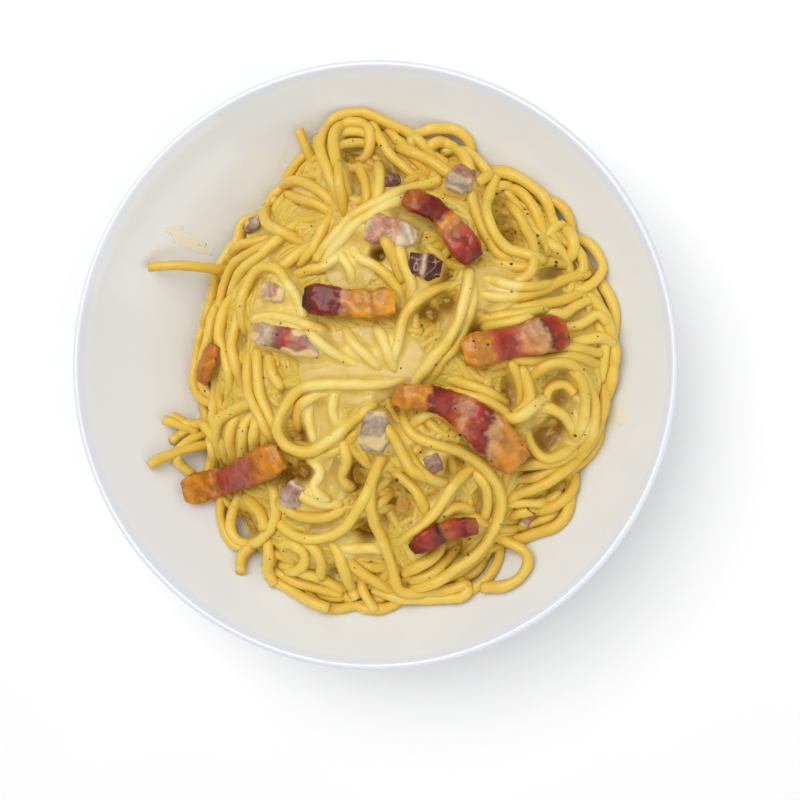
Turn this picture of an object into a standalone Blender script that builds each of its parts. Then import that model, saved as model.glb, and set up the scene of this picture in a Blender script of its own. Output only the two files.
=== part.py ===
"""Spaghetti carbonara served in a white coupe bowl.

A heap of sauced spaghetti lies in a wide round bowl. Crisp bacon strips and softer pieces of ham
rest on and between the strands, and a few loose strands stick out of the heap's edge.
Units are metres, +Z is up, and the origin is the middle of the foot the bowl stands on.
"""
import math

import bmesh
import bpy
from mathutils import Vector

MM = 0.001
GAP = 0.35 * MM                 # clearance left between pieces that touch

# Bowl
INNER_FLOOR_Z = 6.0 * MM        # height of the flat inner floor
FLOOR_RADIUS = 30.0 * MM        # the inner floor is flat out to here
WALL_TOP_RADIUS = 90.4 * MM     # inner wall, where the lip begins
WALL_TOP_Z = 45.6 * MM
WALL_CURVE = 1.8                # power that the inner wall rises with
WALL_THICK_LOW = 4.2 * MM       # wall thickness above the foot ring
WALL_THICK_TOP = 2.4 * MM       # wall thickness at the lip
FOOT_OUTER_RADIUS = 42.0 * MM
FOOT_INNER_RADIUS = 37.6 * MM
FOOT_EDGE = 0.6 * MM            # small rounding of the foot ring
UNDERSIDE_Z = 2.4 * MM          # recessed underside inside the foot ring
BOWL_STEPS = 56
INNER_POINTS = 8
OUTER_POINTS = 6
LIP_POINTS = 3

# Heap of noodles
HEAP_X = 6.5 * MM
HEAP_Y = 0.5 * MM
HEAP_RADIUS = 68.0 * MM
HEAP_PEAK_Z = 53.5 * MM
HEAP_FULLNESS = 1.1             # power of the dome's profile
HEAP_EDGE = 3.4 * MM            # the outermost strand stands this far off the wall
HEAP_WALL_GAP = 0.5 * MM
HEAP_SEGMENTS = 50
HEAP_RINGS = 30
HEAP_RING_SPREAD = 1.2          # above 1, the dome's rings crowd in towards its middle
HEAP_LOW_RINGS = 3              # of the lower half's rings, only one in this many is kept

# Bulges of the heap's outline: direction in degrees, spread in degrees, reach in mm
OUTLINE_LOBES = (
    (104, 11, 9.5),
    (82, 12, 4.5),
    (30, 7, 2.0),
    (5, 22, 1.8),
    (312, 7, -3.5),
    (277, 14, 5.5),
    (243, 17, 9.5),
    (160, 38, -2.8),
)

# Loops of noodles that stand out of the dome: centre x and y, loop radius, height, all in mm
SWIRLS = (
    (-13.5, -17.0, 12.5, 3.0),
    (-26.0, 22.0, 10.5, 2.6),
    (-5.0, 60.0, 8.5, 3.2),
    (31.0, -40.0, 18.0, 2.8),
    (45.0, 36.0, 14.0, 2.8),
    (52.0, -6.0, 12.5, 2.4),
    (-30.0, -48.0, 11.5, 2.6),
    (-36.0, 44.0, 10.5, 2.4),
    (15.0, 24.0, 11.5, 2.2),
    (-46.0, -12.0, 12.0, 2.2),
    (1.0, -56.0, 12.0, 2.4),
    (22.0, 58.0, 10.0, 2.4),
    (26.0, -10.0, 11.0, 2.2),
)
SWIRL_WIDTH = 4.0 * MM
SWIRL_HOLLOW = 0.8              # depth of a loop's middle, as a part of its height

STRAND_RADIUS = 1.65 * MM
STRAND_POINT_STEP = 3.5 * MM

PIECE_SIDES = 8
PIECE_STEP = 3.2 * MM           # spacing of a piece's cross sections
PIECE_UPRIGHT = 0.6             # how much stiffer than the heap's slope a piece lies
PIECE_WALL_CLEAR = 1.4          # a piece that reaches past the heap floats this far off the wall, in mm

# Crisp bacon: route in mm, width at both ends and thickness in mm, waves along it, how far it sits up in mm
BACON = {
    "bacon_1": (((-17.5, 19.2), (-3.0, 17.2), (10.6, 17.0)), 9.4, 9.0, 3.4, 1.4, 1.3),
    "bacon_2": (((12.6, 49.2), (22.0, 45.0), (27.7, 38.2), (33.4, 29.6)), 7.0, 9.4, 3.6, 1.6, 1.3),
    "bacon_3": (((30.2, 1.8), (44.0, 5.1), (60.5, 8.8)), 10.0, 10.4, 3.6, 1.5, 1.2),
    "bacon_4": (((9.8, -10.6), (23.0, -11.8), (35.0, -19.0), (46.2, -31.0)), 7.2, 13.6, 3.8, 1.9, 1.4),
    "bacon_5": (((-48.6, 6.0), (-54.2, -6.0)), 6.4, 6.8, 3.2, 0.6, 0.9),
    "bacon_6": (((-60.5, -41.2), (-43.0, -36.0), (-24.6, -28.4)), 9.4, 10.2, 3.8, 1.5, 1.6),
    "bacon_7": (((14.4, -56.4), (23.6, -50.9), (34.0, -49.0)), 6.2, 6.8, 3.2, 1.1, 0.9),
}

# Softer ham, folded in among the strands, with the same fields
HAM = {
    "ham_1": (((1.4, 40.6), (16.4, 36.4)), 11.0, 7.0, 4.2, 0.5, 0.6),
    "ham_2": (((31.0, 59.4), (27.4, 51.4)), 9.0, 8.8, 4.2, 0.5, 0.8),
    "ham_3": (((14.2, 29.1), (23.8, 27.0)), 8.4, 7.6, 3.8, 0.8, 0.0),
    "ham_4": (((-34.6, 9.4), (-23.0, 6.6), (-12.2, 3.6)), 7.2, 8.4, 3.8, 0.8, 0.2),
    "ham_5": (((4.8, -14.8), (3.4, -27.0)), 7.8, 9.4, 4.0, 0.6, 0.4),
    "ham_6": (((-19.4, -36.8), (-23.8, -43.6)), 7.0, 7.6, 4.2, 0.5, 0.7),
    "ham_7": (((5.6, 54.6), (11.2, 55.2)), 4.4, 4.2, 3.4, 0.3, 0.2),
    "ham_8": (((-31.4, 22.4), (-24.2, 20.0)), 7.4, 6.8, 3.6, 0.5, 0.0),
    "ham_9": (((50.4, -45.4), (47.8, -50.6)), 5.6, 5.2, 3.4, 0.4, 0.6),
    "ham_10": (((20.2, -28.0), (22.6, -33.0)), 6.2, 5.8, 3.2, 0.3, 0.2),
    "ham_11": (((-40.8, 43.4), (-35.4, 46.2)), 5.8, 5.8, 3.6, 0.4, 0.4),
}

# Loose strands that stick out of the heap: x, y and height above the bowl's inner wall at that place, in mm
LOOSE_STRANDS = {
    "strand_left": ((-71.0, 31.4, 2.6), (-62.0, 31.6, 8.6), (-54.0, 31.3, 11.0), (-47.0, 30.6, 9.0)),
    "strand_lower_left": ((-70.6, -32.6, 2.6), (-66.2, -29.6, 4.2), (-59.0, -27.2, 6.2), (-52.0, -25.4, 6.4)),
    "strand_stub": ((-66.0, -16.6, 2.6), (-61.6, -19.2, 5.2), (-56.0, -19.0, 7.0), (-50.0, -16.4, 6.6)),
    "strand_upper_left": ((-22.2, 74.4, 2.6), (-19.6, 67.4, 6.4), (-15.6, 59.6, 8.6), (-11.0, 53.0, 9.0)),
    "strand_hook": ((35.0, -68.9, 2.6), (42.4, -67.6, 2.6), (48.0, -63.2, 2.6), (48.2, -58.2, 3.6),
                    (42.8, -55.2, 6.0), (35.6, -53.0, 7.6)),
    "strand_bottom": ((2.2, -77.0, 2.6), (-1.8, -71.4, 5.4), (-4.2, -63.4, 8.0)),
}


def clear_scene():
    """Remove every object of the open scene."""
    for item in list(bpy.data.objects):
        bpy.data.objects.remove(item, do_unlink=True)


def new_collection(name):
    """A collection linked to the scene."""
    collection = bpy.data.collections.new(name)
    bpy.context.scene.collection.children.link(collection)
    return collection


def new_material(name, colour, roughness):
    """A Principled material of one colour."""
    material = bpy.data.materials.new(name)
    material.use_nodes = True
    shader = material.node_tree.nodes["Principled BSDF"]
    shader.inputs["Base Color"].default_value = (*colour, 1.0)
    shader.inputs["Roughness"].default_value = roughness
    shader.inputs["Metallic"].default_value = 0.0
    return material


def new_object(name, mesh, collection, material=None):
    """An object of that mesh, in that collection."""
    item = bpy.data.objects.new(name, mesh)
    collection.objects.link(item)
    if material:
        mesh.materials.append(material)
    return item


# ---------------------------------------------------------------- shapes that several pieces share


def wall_height(radius):
    """Height of the bowl's inner face at a distance from its axis."""
    rise = max(0.0, radius - FLOOR_RADIUS) / (WALL_TOP_RADIUS - FLOOR_RADIUS)
    return INNER_FLOOR_Z + (WALL_TOP_Z - INNER_FLOOR_Z) * rise ** WALL_CURVE


def wall_slope(radius):
    """Steepness of the bowl's inner face."""
    span = WALL_TOP_RADIUS - FLOOR_RADIUS
    rise = max(0.0, radius - FLOOR_RADIUS) / span
    return (WALL_TOP_Z - INNER_FLOOR_Z) * WALL_CURVE * rise ** (WALL_CURVE - 1.0) / span


def above_wall(radius, distance):
    """Height at which a point is that distance clear of the inner face, measured square to it."""
    return wall_height(radius) + distance * math.hypot(1.0, wall_slope(radius))


def outline_radius(angle):
    """Radius of the heap's outline in a direction from the heap's middle."""
    radius = HEAP_RADIUS
    for direction, spread, reach in OUTLINE_LOBES:
        away = math.degrees(angle) - direction
        away = (away + 180.0) % 360.0 - 180.0
        radius += reach * MM * math.exp(-(away / spread) ** 2)
    return radius


def edge_height(angle):
    """Height of the heap's widest line, which leans on the bowl's wall."""
    reach = outline_radius(angle)
    x = HEAP_X + reach * math.cos(angle)
    y = HEAP_Y + reach * math.sin(angle)
    return above_wall(math.hypot(x, y), HEAP_EDGE)


def swirl_relief(x, y):
    """Height that the looped noodles add to the smooth dome."""
    relief = 0.0
    for cx, cy, loop, height in SWIRLS:
        distance = math.hypot(x - cx * MM, y - cy * MM)
        relief += height * MM * math.exp(-((distance - loop * MM) / SWIRL_WIDTH) ** 2)
        relief -= SWIRL_HOLLOW * height * MM * math.exp(-(distance / (0.6 * loop * MM)) ** 2)
    return relief


def heap_height(x, y, relief=True):
    """Height of the heap's upper face."""
    dx = x - HEAP_X
    dy = y - HEAP_Y
    angle = math.atan2(dy, dx)
    out = min(1.0, math.hypot(dx, dy) / outline_radius(angle))
    rise = math.sqrt(1.0 - out * out)
    edge = edge_height(angle)
    height = edge + (HEAP_PEAK_Z - edge) * rise ** HEAP_FULLNESS
    if relief:
        height += swirl_relief(x, y) * min(1.0, 2.0 * rise)
    return height


def smooth_path(points, step):
    """Points about one step apart on a smooth curve through the given ones."""
    knots = [Vector(point) for point in points]
    knots = [2 * knots[0] - knots[1], *knots, 2 * knots[-1] - knots[-2]]
    path = []
    for before, start, end, after in zip(knots, knots[1:], knots[2:], knots[3:]):
        count = max(1, round((end - start).length / step))
        for index in range(count):
            t = index / count
            path.append(0.5 * (2 * start + (end - before) * t
                               + (2 * before - 5 * start + 4 * end - after) * t ** 2
                               + (3 * start - before - 3 * end + after) * t ** 3))
    path.append(knots[-2])
    return path


def surface_normal(x, y):
    """Upward normal of the heap's smooth dome."""
    step = 2.0 * MM
    slope_x = (heap_height(x + step, y, False) - heap_height(x - step, y, False)) / (2 * step)
    slope_y = (heap_height(x, y + step, False) - heap_height(x, y - step, False)) / (2 * step)
    return Vector((-slope_x, -slope_y, 1.0)).normalized()


def inflated(mesh, distance):
    """A copy of the mesh in triangles, with every point moved out along its normal."""
    copy = mesh.copy()
    work = bmesh.new()
    work.from_mesh(copy)
    work.normal_update()
    for vert in work.verts:
        vert.co += vert.normal * distance * vert.calc_shell_factor()
    bmesh.ops.triangulate(work, faces=work.faces)
    work.to_mesh(copy)
    work.free()
    return copy


def mark_cutter(item):
    """Show an object as a wire guide that isn't part of the model."""
    item.hide_render = True
    item.display_type = "WIRE"


# ---------------------------------------------------------------- bowl


def bowl_profile():
    """Profile from the middle of the inner floor, over the lip and down to the middle of the underside."""
    inner = []
    for index in range(INNER_POINTS + 1):
        radius = FLOOR_RADIUS + (WALL_TOP_RADIUS - FLOOR_RADIUS) * index / INNER_POINTS
        inner.append((radius, wall_height(radius)))
    outer = []
    first = (FOOT_OUTER_RADIUS - FLOOR_RADIUS) / (WALL_TOP_RADIUS - FLOOR_RADIUS)
    for index in range(OUTER_POINTS + 1):
        rise = first + (1.0 - first) * index / OUTER_POINTS
        radius = FLOOR_RADIUS + (WALL_TOP_RADIUS - FLOOR_RADIUS) * rise
        slope = wall_slope(radius)
        thick = WALL_THICK_LOW + (WALL_THICK_TOP - WALL_THICK_LOW) * rise
        scale = thick / math.hypot(1.0, slope)
        outer.append((radius + slope * scale, wall_height(radius) - scale))
    lip = []
    middle = [(a + b) / 2 for a, b in zip(inner[-1], outer[-1])]
    start = math.atan2(inner[-1][1] - middle[1], inner[-1][0] - middle[0])
    for index in range(1, LIP_POINTS + 1):
        angle = start - math.pi * index / (LIP_POINTS + 1)
        lip.append((middle[0] + WALL_THICK_TOP / 2 * math.cos(angle),
                    middle[1] + WALL_THICK_TOP / 2 * math.sin(angle)))
    foot = [
        (FOOT_OUTER_RADIUS, FOOT_EDGE),
        (FOOT_OUTER_RADIUS - FOOT_EDGE, 0.0),
        (FOOT_INNER_RADIUS + FOOT_EDGE, 0.0),
        (FOOT_INNER_RADIUS, FOOT_EDGE),
        (FOOT_INNER_RADIUS - FOOT_EDGE, UNDERSIDE_Z),
    ]
    return [(0.0, INNER_FLOOR_Z), *inner, *lip, *reversed(outer), *foot, (0.0, UNDERSIDE_Z)]


def build_bowl(collection, material):
    """The turned porcelain bowl."""
    points = bowl_profile()
    mesh = bpy.data.meshes.new("bowl")
    mesh.from_pydata([(radius, 0.0, z) for radius, z in points],
                     [(index, index + 1) for index in range(len(points) - 1)], [])
    bowl = new_object("bowl", mesh, collection, material)
    screw = bowl.modifiers.new("turn", "SCREW")
    screw.axis = "Z"
    screw.angle = 2.0 * math.pi
    screw.steps = BOWL_STEPS
    screw.render_steps = BOWL_STEPS
    screw.use_merge_vertices = True
    screw.merge_threshold = 0.00005
    screw.use_smooth_shade = True
    return bowl


# ---------------------------------------------------------------- toppings


def cross_section(angle, width, thick):
    """A point on a flat rounded section: across the piece and up from its middle."""
    across = math.copysign(abs(math.cos(angle)) ** 0.7, math.cos(angle))
    upward = math.copysign(abs(math.sin(angle)) ** 0.8, math.sin(angle))
    return across * width / 2, upward * thick / 2


def piece_mesh(name, route, width_start, width_end, thick, waves, lift):
    """A strip of meat that lies along a route on the heap and follows its slope."""
    path = smooth_path([(x * MM, y * MM, 0.0) for x, y in route], PIECE_STEP)
    rings = len(path) - 1
    work = bmesh.new()
    bmesh.ops.create_cone(work, cap_ends=True, cap_tris=False, segments=PIECE_SIDES,
                          radius1=1.0, radius2=1.0, depth=1.0)
    long_edges = [edge for edge in work.edges if abs(edge.verts[0].co.z - edge.verts[1].co.z) > 0.5]
    bmesh.ops.subdivide_edges(work, edges=long_edges, cuts=rings - 1)
    for vert in work.verts:
        place = vert.co.z + 0.5
        index = round(place * rings)
        here = path[index]
        ahead = path[min(rings, index + 1)] - path[max(0, index - 1)]
        up = (surface_normal(here.x, here.y) + Vector((0.0, 0.0, PIECE_UPRIGHT))).normalized()
        along = (ahead - up * ahead.dot(up)).normalized()
        side = up.cross(along)
        width = (width_start + (width_end - width_start) * place) * MM
        end_fade = 0.72 if index in (0, rings) else 1.0
        ruffle = 1.0 + 0.09 * math.sin(9.0 * place + len(name) + waves * 4.0)
        across, upward = cross_section(math.atan2(vert.co.y, vert.co.x), width * end_fade * ruffle,
                                       thick * MM * end_fade)
        wave = 0.55 * MM * waves * math.sin(2.0 * math.pi * waves * place)
        height = max(heap_height(here.x, here.y, False) + lift * MM,
                     above_wall(math.hypot(here.x, here.y), (0.5 * thick + PIECE_WALL_CLEAR) * MM))
        vert.co = Vector((here.x, here.y, height + wave)) + side * across + up * upward
        vert.co.z = max(vert.co.z, above_wall(math.hypot(vert.co.x, vert.co.y), HEAP_WALL_GAP))
    mesh = bpy.data.meshes.new(name)
    work.to_mesh(mesh)
    work.free()
    mesh.shade_smooth()
    mesh.set_sharp_from_angle(angle=math.radians(50))
    return mesh


def build_pieces(table, collection, cutters, material):
    """Every piece of one kind of meat, with a slightly larger cutter for each."""
    for name, (route, width_start, width_end, thick, waves, lift) in table.items():
        mesh = piece_mesh(name, route, width_start, width_end, thick, waves, lift)
        cutter = new_object(name + "_cutter", inflated(mesh, GAP), cutters)
        mark_cutter(cutter)
        new_object(name, mesh, collection, material)


# ---------------------------------------------------------------- noodles


def build_loose_strand(name, route, collection, cutters, material):
    """One strand that sticks out of the heap, made a mesh so that it can be cut round."""
    points = [(x * MM, y * MM, above_wall(math.hypot(x, y) * MM, clear * MM)) for x, y, clear in route]
    path = smooth_path(points, STRAND_POINT_STEP)
    curve = bpy.data.curves.new(name, "CURVE")
    curve.dimensions = "3D"
    curve.bevel_depth = STRAND_RADIUS
    curve.bevel_resolution = 2
    curve.use_fill_caps = True
    spline = curve.splines.new("POLY")
    spline.points.add(len(path) - 1)
    for target, point in zip(spline.points, path):
        target.co = (*point, 1.0)
    tube = new_object(name + "_route", curve, collection)
    bpy.context.view_layer.update()
    mesh = bpy.data.meshes.new_from_object(tube.evaluated_get(bpy.context.evaluated_depsgraph_get()))
    bpy.data.objects.remove(tube, do_unlink=True)
    work = bmesh.new()
    work.from_mesh(mesh)
    bmesh.ops.remove_doubles(work, verts=work.verts, dist=0.00002)
    bmesh.ops.recalc_face_normals(work, faces=work.faces)
    work.to_mesh(mesh)
    work.free()
    mesh.name = name
    mesh.materials.clear()
    mesh.shade_smooth()
    cutter = new_object(name + "_cutter", inflated(mesh, GAP), cutters)
    mark_cutter(cutter)
    new_object(name, mesh, collection, material)


def thin_lower_rings(work):
    """Drop most of the rings below a ball's widest line."""
    spacing = math.pi / HEAP_RINGS
    dropped = []
    for edge in work.edges:
        rings = [math.asin(max(-1.0, min(1.0, -vert.co.z))) / spacing for vert in edge.verts]
        level = round(rings[0])
        same_ring = abs(rings[0] - rings[1]) < 0.5
        if same_ring and 2 < level < HEAP_RINGS // 2 and level % HEAP_LOW_RINGS:
            dropped.append(edge)
    bmesh.ops.dissolve_edges(work, edges=dropped, use_verts=True)


def heap_mesh():
    """A ball pressed to the heap's outline: a looped dome above, the bowl's inner face below.

    Its faces are split into flat triangles, so that each cut gives the same solid every time.
    """
    work = bmesh.new()
    bmesh.ops.create_uvsphere(work, u_segments=HEAP_SEGMENTS, v_segments=HEAP_RINGS, radius=1.0)
    thin_lower_rings(work)
    for vert in work.verts:
        unit = vert.co.copy()
        angle = math.atan2(unit.y, unit.x)
        out = min(1.0, math.hypot(unit.x, unit.y))
        if unit.z > 0.0:
            out = out ** HEAP_RING_SPREAD
        reach = outline_radius(angle) * out
        x = HEAP_X + reach * math.cos(angle)
        y = HEAP_Y + reach * math.sin(angle)
        if unit.z >= -0.0001:
            z = heap_height(x, y)
        else:
            edge = (HEAP_EDGE - HEAP_WALL_GAP) * (1.0 + unit.z) ** 3
            z = above_wall(math.hypot(x, y), HEAP_WALL_GAP + edge)
        vert.co = (x, y, z)
    bmesh.ops.triangulate(work, faces=work.faces)
    mesh = bpy.data.meshes.new("spaghetti_heap")
    work.to_mesh(mesh)
    work.free()
    mesh.shade_smooth()
    return mesh


def build_heap(collection, cutters, material):
    """The heap of noodles, hollowed where meat and loose strands lie in it."""
    heap = new_object("spaghetti_heap", heap_mesh(), collection, material)
    for cutter in cutters.objects:
        cut = heap.modifiers.new(cutter.name, "BOOLEAN")
        cut.operation = "DIFFERENCE"
        cut.solver = "EXACT"
        cut.object = cutter
    return heap


def main():
    """Build the served dish."""
    clear_scene()
    dish = new_collection("spaghetti_carbonara")
    cutters = new_collection("cutters")
    porcelain = new_material("glazed_porcelain", (0.76, 0.76, 0.75), 0.12)
    pasta = new_material("sauced_spaghetti", (0.62, 0.38, 0.09), 0.38)
    crisp = new_material("crisp_bacon", (0.36, 0.07, 0.025), 0.35)
    soft = new_material("soft_ham", (0.55, 0.24, 0.2), 0.4)
    build_bowl(dish, porcelain)
    build_pieces(BACON, dish, cutters, crisp)
    build_pieces(HAM, dish, cutters, soft)
    for name, route in LOOSE_STRANDS.items():
        build_loose_strand(name, route, dish, cutters, pasta)
    build_heap(dish, cutters, pasta)


if __name__ == "__main__":
    main()
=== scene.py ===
"""Spaghetti carbonara in a coupe bowl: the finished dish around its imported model.

Shapes are worked out in millimetres and written to the meshes in metres.
"""

from __future__ import annotations

import logging
import math
from dataclasses import dataclass, field
from enum import Enum
from typing import Any, Sequence

import bpy
import numpy as np
from mathutils import Matrix, Vector, noise
from mathutils.bvhtree import BVHTree
from mathutils.kdtree import KDTree


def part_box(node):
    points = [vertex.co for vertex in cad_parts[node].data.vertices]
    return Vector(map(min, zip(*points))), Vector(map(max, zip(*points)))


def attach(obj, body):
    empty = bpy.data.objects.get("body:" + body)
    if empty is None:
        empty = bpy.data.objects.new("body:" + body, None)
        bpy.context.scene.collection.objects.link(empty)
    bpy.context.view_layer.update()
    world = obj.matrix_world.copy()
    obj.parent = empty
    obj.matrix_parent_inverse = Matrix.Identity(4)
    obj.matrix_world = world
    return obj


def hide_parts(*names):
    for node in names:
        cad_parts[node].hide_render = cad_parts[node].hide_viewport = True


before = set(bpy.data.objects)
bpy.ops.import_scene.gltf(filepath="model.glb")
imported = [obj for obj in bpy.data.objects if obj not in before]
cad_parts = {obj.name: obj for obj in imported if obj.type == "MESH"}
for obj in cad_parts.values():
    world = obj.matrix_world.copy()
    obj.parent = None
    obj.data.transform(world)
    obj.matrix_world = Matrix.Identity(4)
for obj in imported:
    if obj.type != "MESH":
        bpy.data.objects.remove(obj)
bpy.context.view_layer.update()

MM = 0.001
NOWHERE = -100.0  # height, in mm, where there is nothing
BODY = "root"
LOG = logging.getLogger("carbonara")
Point = tuple[float, float]


# ------------------------------------------------------------------ shader building


class Channel:
    """A shader value that can be used in Python expressions."""

    def __init__(self, graph: "Graph", socket: Any) -> None:
        """Wrap one output socket of a graph."""
        self.graph = graph
        self.socket = socket

    def _math(self, operation: str, *values: Any) -> "Channel":
        """Add a Math node that works on these values."""
        inputs = {index: value for index, value in enumerate(values)}
        return self.graph.make("ShaderNodeMath", {"operation": operation}, inputs)

    def __add__(self, other: Any) -> "Channel":
        """Sum."""
        return self._math("ADD", self, other)

    def __sub__(self, other: Any) -> "Channel":
        """Difference."""
        return self._math("SUBTRACT", self, other)

    def __mul__(self, other: Any) -> "Channel":
        """Product."""
        return self._math("MULTIPLY", self, other)

    def span(self, low: float, high: float, start: float = 0.0, end: float = 1.0) -> "Channel":
        """Carry the range low to high smoothly over to start to end.

        Args:
            low: Value that becomes start.
            high: Value that becomes end.
            start: Result at and below low.
            end: Result at and above high.

        Returns:
            The mapped value.
        """
        settings = {"interpolation_type": "SMOOTHSTEP"}
        inputs = {"Value": self, "From Min": low, "From Max": high, "To Min": start, "To Max": end}
        return self.graph.make("ShaderNodeMapRange", settings, inputs)


class Graph:
    """One material and the nodes that colour it."""

    def __init__(self, name: str) -> None:
        """Start a material that holds only its shader.

        Args:
            name: The material's name.
        """
        self.material = bpy.data.materials.new(name)
        self.material.use_nodes = True
        self.tree = self.material.node_tree
        self.shader = self.tree.nodes["Principled BSDF"]

    def make(self, kind: str, settings: dict[str, Any], inputs: dict[Any, Any], output: Any = 0) -> Channel:
        """Add any node.

        Args:
            kind: The node's type.
            settings: Properties that are set before the sockets.
            inputs: Socket name or number to a value or a Channel.
            output: Socket name or number that is handed back.

        Returns:
            The output as a Channel.
        """
        node = self.tree.nodes.new(kind)
        for key, value in settings.items():
            setattr(node, key, value)
        for key, value in inputs.items():
            self._feed(node.inputs[key], value)
        return Channel(self, node.outputs[output])

    def _feed(self, socket: Any, value: Any) -> None:
        """Link a Channel to a socket, or set a plain value on it."""
        if isinstance(value, Channel):
            self.tree.links.new(value.socket, socket)
        else:
            socket.default_value = value

    def place(self) -> Channel:
        """The point on the piece, in metres."""
        return self.make("ShaderNodeTexCoord", {}, {}, "Object")

    def attribute(self, name: str, output: str = "Fac") -> Channel:
        """A value or colour that the mesh carries."""
        return self.make("ShaderNodeAttribute", {"attribute_name": name}, {}, output)

    def clouds(self, scale: float, detail: float = 3.0, roughness: float = 0.5) -> Channel:
        """Soft noise with features of about 1 / scale metres."""
        inputs = {"Vector": self.place(), "Scale": scale, "Detail": detail, "Roughness": roughness}
        return self.make("ShaderNodeTexNoise", {}, inputs, "Fac")

    def blend(self, factor: Any, first: Any, second: Any, kind: str = "MIX") -> Channel:
        """Mix two colours.

        Args:
            factor: Share of the second colour.
            first: Colour or Channel.
            second: Colour or Channel.
            kind: How they are mixed.

        Returns:
            The mixed colour.
        """
        node = self.tree.nodes.new("ShaderNodeMix")
        node.data_type = "RGBA"
        node.blend_type = kind
        self._feed(node.inputs[0], factor)
        self._feed(node.inputs[6], first)
        self._feed(node.inputs[7], second)
        return Channel(self, node.outputs[2])

    def bump(self, height: Channel, strength: float, distance: float) -> Channel:
        """Relief from a height value, as deep as distance in metres."""
        return self.make("ShaderNodeBump", {}, {"Height": height, "Strength": strength, "Distance": distance},
                         "Normal")

    def dress(self, varying: dict[str, Channel], **constants: Any) -> bpy.types.Material:
        """Feed the shader and finish.

        Args:
            varying: Socket name to Channel.
            constants: Socket name, with underscores for spaces, to a fixed value.

        Returns:
            The finished material.
        """
        for key, value in constants.items():
            self.shader.inputs[key.replace("_", " ")].default_value = value
        for key, value in varying.items():
            self._feed(self.shader.inputs[key], value)
        return self.material


def rgb(red: float, green: float, blue: float) -> tuple[float, float, float, float]:
    """A linear colour with full alpha."""
    return (red, green, blue, 1.0)


@dataclass(frozen=True)
class Porcelain:
    """White glazed porcelain whose lip carries a painted cool reflection and shade."""

    body: tuple = rgb(0.79, 0.81, 0.82)
    # painted reflection and shade: the colour of the band along the lip
    lip: tuple = rgb(0.74, 0.77, 0.82)
    rim_height: float = 0.0435
    roughness: float = 0.16

    def build(self) -> bpy.types.Material:
        """The glaze, warmer inside, with painted bluish reflection and shade at the lip."""
        graph = Graph("glazed_porcelain")
        height = graph.make("ShaderNodeSeparateXYZ", {}, {"Vector": graph.place()}, "Z")
        lip = height.span(self.rim_height, self.rim_height + 0.0015)
        uneven = graph.clouds(45.0, 2.0)
        # painted reflection and shade: the lip is tinted bluish grey for the rim's cool reflection and dark
        # outline
        colour = graph.blend(lip, self.body, self.lip)
        rough = uneven.span(0.3, 0.7, self.roughness - 0.03, self.roughness + 0.05)
        return graph.dress({"Base Color": colour, "Roughness": rough,
                            "Normal": graph.bump(uneven, 0.04, 0.0004)},
                           IOR=1.5, Coat_Weight=0.35, Coat_Roughness=0.06, Subsurface_Weight=0.06,
                           Subsurface_Scale=0.002)


@dataclass(frozen=True)
class SaucedPasta:
    """Cooked spaghetti with a thin coat of cream sauce."""

    yellow: tuple = rgb(0.79, 0.56, 0.095)
    deep_yellow: tuple = rgb(0.71, 0.44, 0.045)
    cream: tuple = rgb(0.83, 0.65, 0.200)
    shade: tuple = rgb(0.36, 0.17, 0.010)

    def build(self) -> bpy.types.Material:
        """Strand colour from its own tone, creamier where sauce clings, and painted shade that darkens it
        deep in the heap.
        """
        graph = Graph("sauced_spaghetti")
        tone = graph.attribute("tone")
        cream = graph.attribute("cream")
        deep = graph.attribute("deep")
        patch = graph.clouds(160.0, 4.0, 0.6)
        fine = graph.clouds(900.0, 4.0, 0.6)
        base = graph.blend(tone, self.deep_yellow, self.yellow)
        coat = (cream * 0.9 + (patch - 0.5) * 0.9).span(0.25, 0.8)
        colour = graph.blend(coat, base, self.cream)
        # painted shade: the deep attribute darkens strands that lie deep among the others, where shade falls
        colour = graph.blend(deep, colour, self.shade)
        rough = fine.span(0.25, 0.75, 0.30, 0.50)
        relief = graph.bump(fine * 0.6 + patch * 0.9, 0.35, 0.0005)
        return graph.dress({"Base Color": colour, "Roughness": rough, "Normal": relief},
                           IOR=1.38, Coat_Weight=0.20, Coat_Roughness=0.16, Subsurface_Weight=0.22,
                           Subsurface_Radius=(1.0, 0.55, 0.18), Subsurface_Scale=0.0016)


@dataclass(frozen=True)
class CreamSauce:
    """Pale cream sauce that lies between the strands."""

    cream: tuple = rgb(0.78, 0.56, 0.115)
    pale: tuple = rgb(0.82, 0.63, 0.190)
    shade: tuple = rgb(0.28, 0.125, 0.008)

    def build(self) -> bpy.types.Material:
        """Sauce colour, with painted shade that darkens it where it lies deep."""
        graph = Graph("cream_sauce")
        deep = graph.attribute("deep")
        patch = graph.clouds(220.0, 4.0, 0.6)
        fine = graph.clouds(1100.0, 3.0, 0.55)
        colour = graph.blend(patch.span(0.35, 0.7), self.cream, self.pale)
        # painted shade: the deep attribute darkens sauce lying deep between the strands
        colour = graph.blend(deep, colour, self.shade)
        rough = fine.span(0.25, 0.75, 0.28, 0.42)
        relief = graph.bump(patch + fine * 0.4, 0.3, 0.0005)
        return graph.dress({"Base Color": colour, "Roughness": rough, "Normal": relief},
                           IOR=1.38, Coat_Weight=0.22, Coat_Roughness=0.15, Subsurface_Weight=0.25,
                           Subsurface_Radius=(1.0, 0.7, 0.35), Subsurface_Scale=0.0018)


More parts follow.
